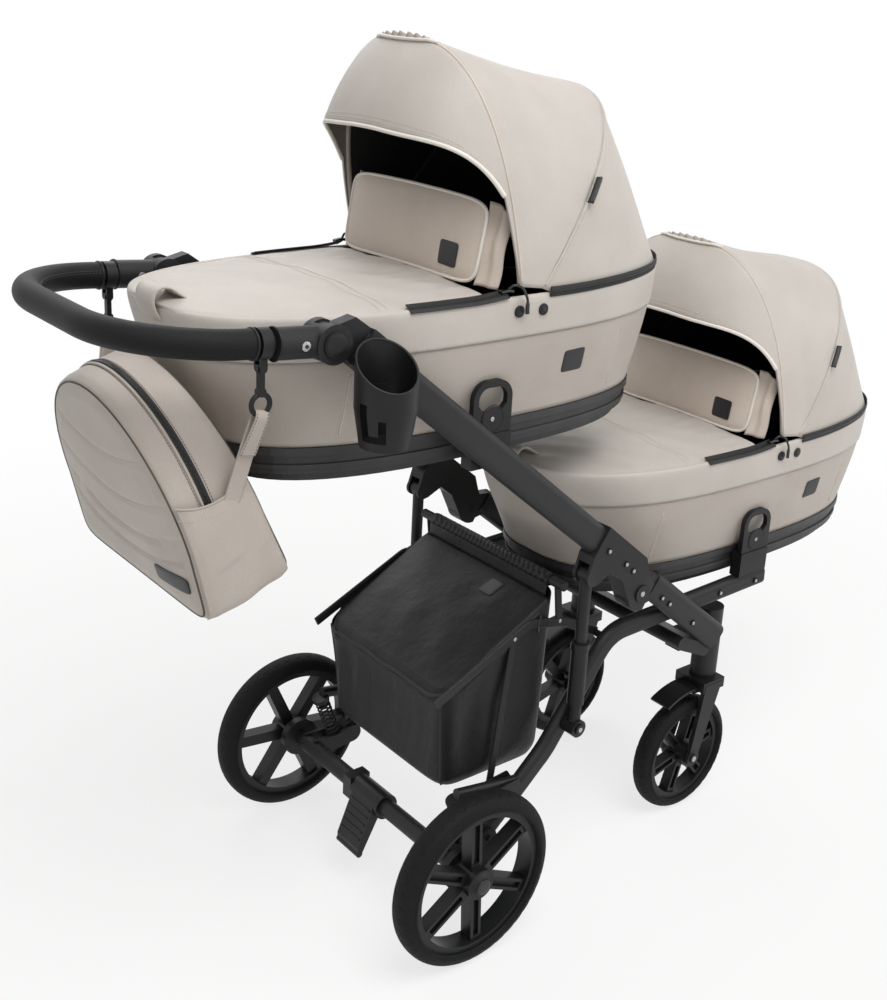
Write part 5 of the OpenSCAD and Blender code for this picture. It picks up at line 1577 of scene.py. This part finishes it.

# %% [markdown]
# ## Springs, rivets and loops
# The axle springs are closed coils of round wire. A helix is a circle that climbs as it turns, and the wire
# is a small round section carried along it. On the pram each spring is squeezed when the axle swings up; here
# it is a fixed coil.

# %% springs
SPRING_LOW, SPRING_TOP, RAIL_Y = np.array((0.046 - REAR, 0.163)), np.array((0.020 - REAR, 0.231)), 0.190
COIL_R, WIRE_R, COIL_TURNS, COIL_END = 0.0115, 0.0017, 9, 0.0019
ACROSS = np.array((0.0, 1.0, 0.0))
lift = np.array((SPRING_TOP[0] - SPRING_LOW[0], 0.0, SPRING_TOP[1] - SPRING_LOW[1]))
spring_long = np.linalg.norm(lift)
lift = lift/spring_long
t = np.linspace(0, 1, 460)
turn = 2*np.pi*COIL_TURNS*t
climb = COIL_END + (spring_long - 2*COIL_END)*np.clip((t - 0.06)/0.88, 0, 1)
out = np.cos(turn)[:, None]*np.cross(ACROSS, lift) + np.sin(turn)[:, None]*ACROSS
for side, sign in RIGHT_LEFT:
    foot = np.array((SPRING_LOW[0], sign*RAIL_Y, SPRING_LOW[1]))
    wire = foot + out*COIL_R + climb[:, None]*lift
    coil = sweep("axle_coil_" + side, wire, ring(WIRE_R, 8), out, finish="black_plastic", body="chassis",
                 slot="steel")
    top = foot + spring_long*lift
    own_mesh(coil)
    if side == "right":
        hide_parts("axle_springs")
print("springs made")

# %% rivets and caps
TUBE_OUT, RAIL_OUT, BAR_OUT = 0.2295, 0.201, 0.1694
SLOPE = math.radians(38.8)
RIVET_HIGH, RIB_OUT = 0.0007, 0.0004


def on_tube(s, n, y):
    """A point on the long side tube: s along it and n square to it, from its middle joint."""
    c, d = math.cos(SLOPE), math.sin(SLOPE)
    return np.array((0.255 - REAR + s*c + n*d, y, 0.636 - s*d + n*c))


def rivet(name, at, sign, body, size=0.0030):
    """A steel rivet head that looks to one side."""
    disc(name, at, (0, sign, 0), size, RIVET_HIGH, "steel", body, dome=0.6, rings_=6, sides_=24)


turn = turns(60)
round_ = xyz(np.cos(turn), 0.0, np.sin(turn))
for side, sign in RIGHT_LEFT:
    for number, s in enumerate((0.207, 0.233, 0.318)):
        at = on_tube(s, -0.008, sign*(TUBE_OUT + 0.0024))
        rivet("tube_rivet_%s_%d" % (side, number), at, sign, "chassis")
    for number, (s, n) in enumerate(((0.021, -0.004), (0.074, -0.003), (0.098, -0.004))):
        at = on_tube(s, n, sign*(TUBE_Y + 0.0189))
        rivet("bracket_rivet_%s_%d" % (side, number), at, sign, "upper_frame")
    for number, x in enumerate((0.600, 0.696)):
        at = np.array((x - REAR, sign*(RAIL_OUT + 0.0024), 0.449))
        rivet("rail_rivet_%s_%d" % (side, number), at, sign, "chassis")
    rivet("strut_bolt_" + side, np.array((0.240 - REAR, sign*0.2349, 0.310)), sign, "chassis", 0.0042)
    rivet("hinge_bolt_" + side, on_tube(0.1467, -0.0245, sign*0.2369), sign, "chassis", 0.0046)
    for number, (x, z) in enumerate(((0.142, 0.474), (0.238, 0.480))):
        at = np.array((x - REAR, sign*BAR_OUT, z))
        rivet("bar_rivet_%s_%d" % (side, number), at, sign, "chassis", 0.0034)
    for face in (-1, 1):
        at = np.array((FRONT_X, sign*FRONT_Y + face*0.0383, FRONT_R))
        rivet("fork_bolt_%s_%d" % (side, face), at, face, "swivel_" + side, 0.0052)
    hub, on_wheel = np.array((-REAR, sign*(REAR_Y + 0.0288), REAR_R)), "rear_wheel_" + side
    disc("hub_cap_" + side, hub, (0, sign, 0), 0.0128, 0.0022, "gloss_black", on_wheel, dome=0.4)
    cord("hub_ring_" + side, 0.0155*round_ - (0, sign*0.0008, 0) + hub, 0.0009, (0, sign, 0), "rim_plastic",
         on_wheel, sides=6, closed=True)
    for cot, move in COTS.items():
        face, on_cot = np.array((0.034, sign*0.2030, BASE + 0.046 + 0.022)) + move, cot + "_cot"
        disc("%s_loop_disc_%s" % (cot, side), face, (0, sign, 0), 0.0190, 0.0008, "black_plastic", on_cot,
             dome=0.1)
        cord("%s_loop_ring_%s" % (cot, side), 0.0205*round_ + face, 0.0007, (0, sign, 0), "black_plastic",
             on_cot, sides=6, closed=True)
        rivet("%s_loop_rivet_%s" % (cot, side), face + (0, sign*0.0005, 0), sign, on_cot, 0.0034)
out = unit(np.array((-0.075, 0.0, 0.030)))
for number, t in enumerate(np.linspace(0.18, 0.82, 5)):
    x, z = -0.020 - 0.030*t - REAR, 0.153 - 0.075*t
    bar = xyz(x, np.linspace(-0.026, 0.026, 12), z)
    cord("pedal_rib_%d" % number, bar + out*RIB_OUT, 0.0014, out, "black_plastic", "brake")
print("rivets and ribs made")

# %% [markdown]
# ## Sewn cloth
# Every cloth panel is cut flat, then sewn tight to its neighbours or its hoops. Its flat size is measured on
# its own grid and printed: the longest row, the longest column and the area between them.

# %% sewn sheets
SEWN = {"_tub_panel": "_pan", "_tub_band": "_pan", "_hood_visor": "_fittings", "_hood_middle": "_fittings",
        "_hood_rear": "_tub_band", "_apron_cover": "_tub_band", "_wind_gusset_right": "_wind_pad",
        "_wind_gusset_left": "_wind_pad", "_vent_mesh": "_hood_visor", "_foot_tab": "_tub_band"}
sewn = [(cot + sheet, cot + under) for cot in COTS for sheet, under in SEWN.items()]
sewn += [("basket_" + n, "basket_frame") for n in ("cloth_body", "lid_cloth", "sleeve", "lid_hinge")]
sewn += [("bag_pocket_" + side, "bag_shell") for side in sides]
sewn += [("bag_strap_" + side, "snap_hooks") for side in sides]
for name, under in sewn:
    grid, closed = GRIDS[name]
    size, area = cut(grid, closed)
    print(name, "cut", [round(v, 3) for v in size], "m, area", round(area, 4))
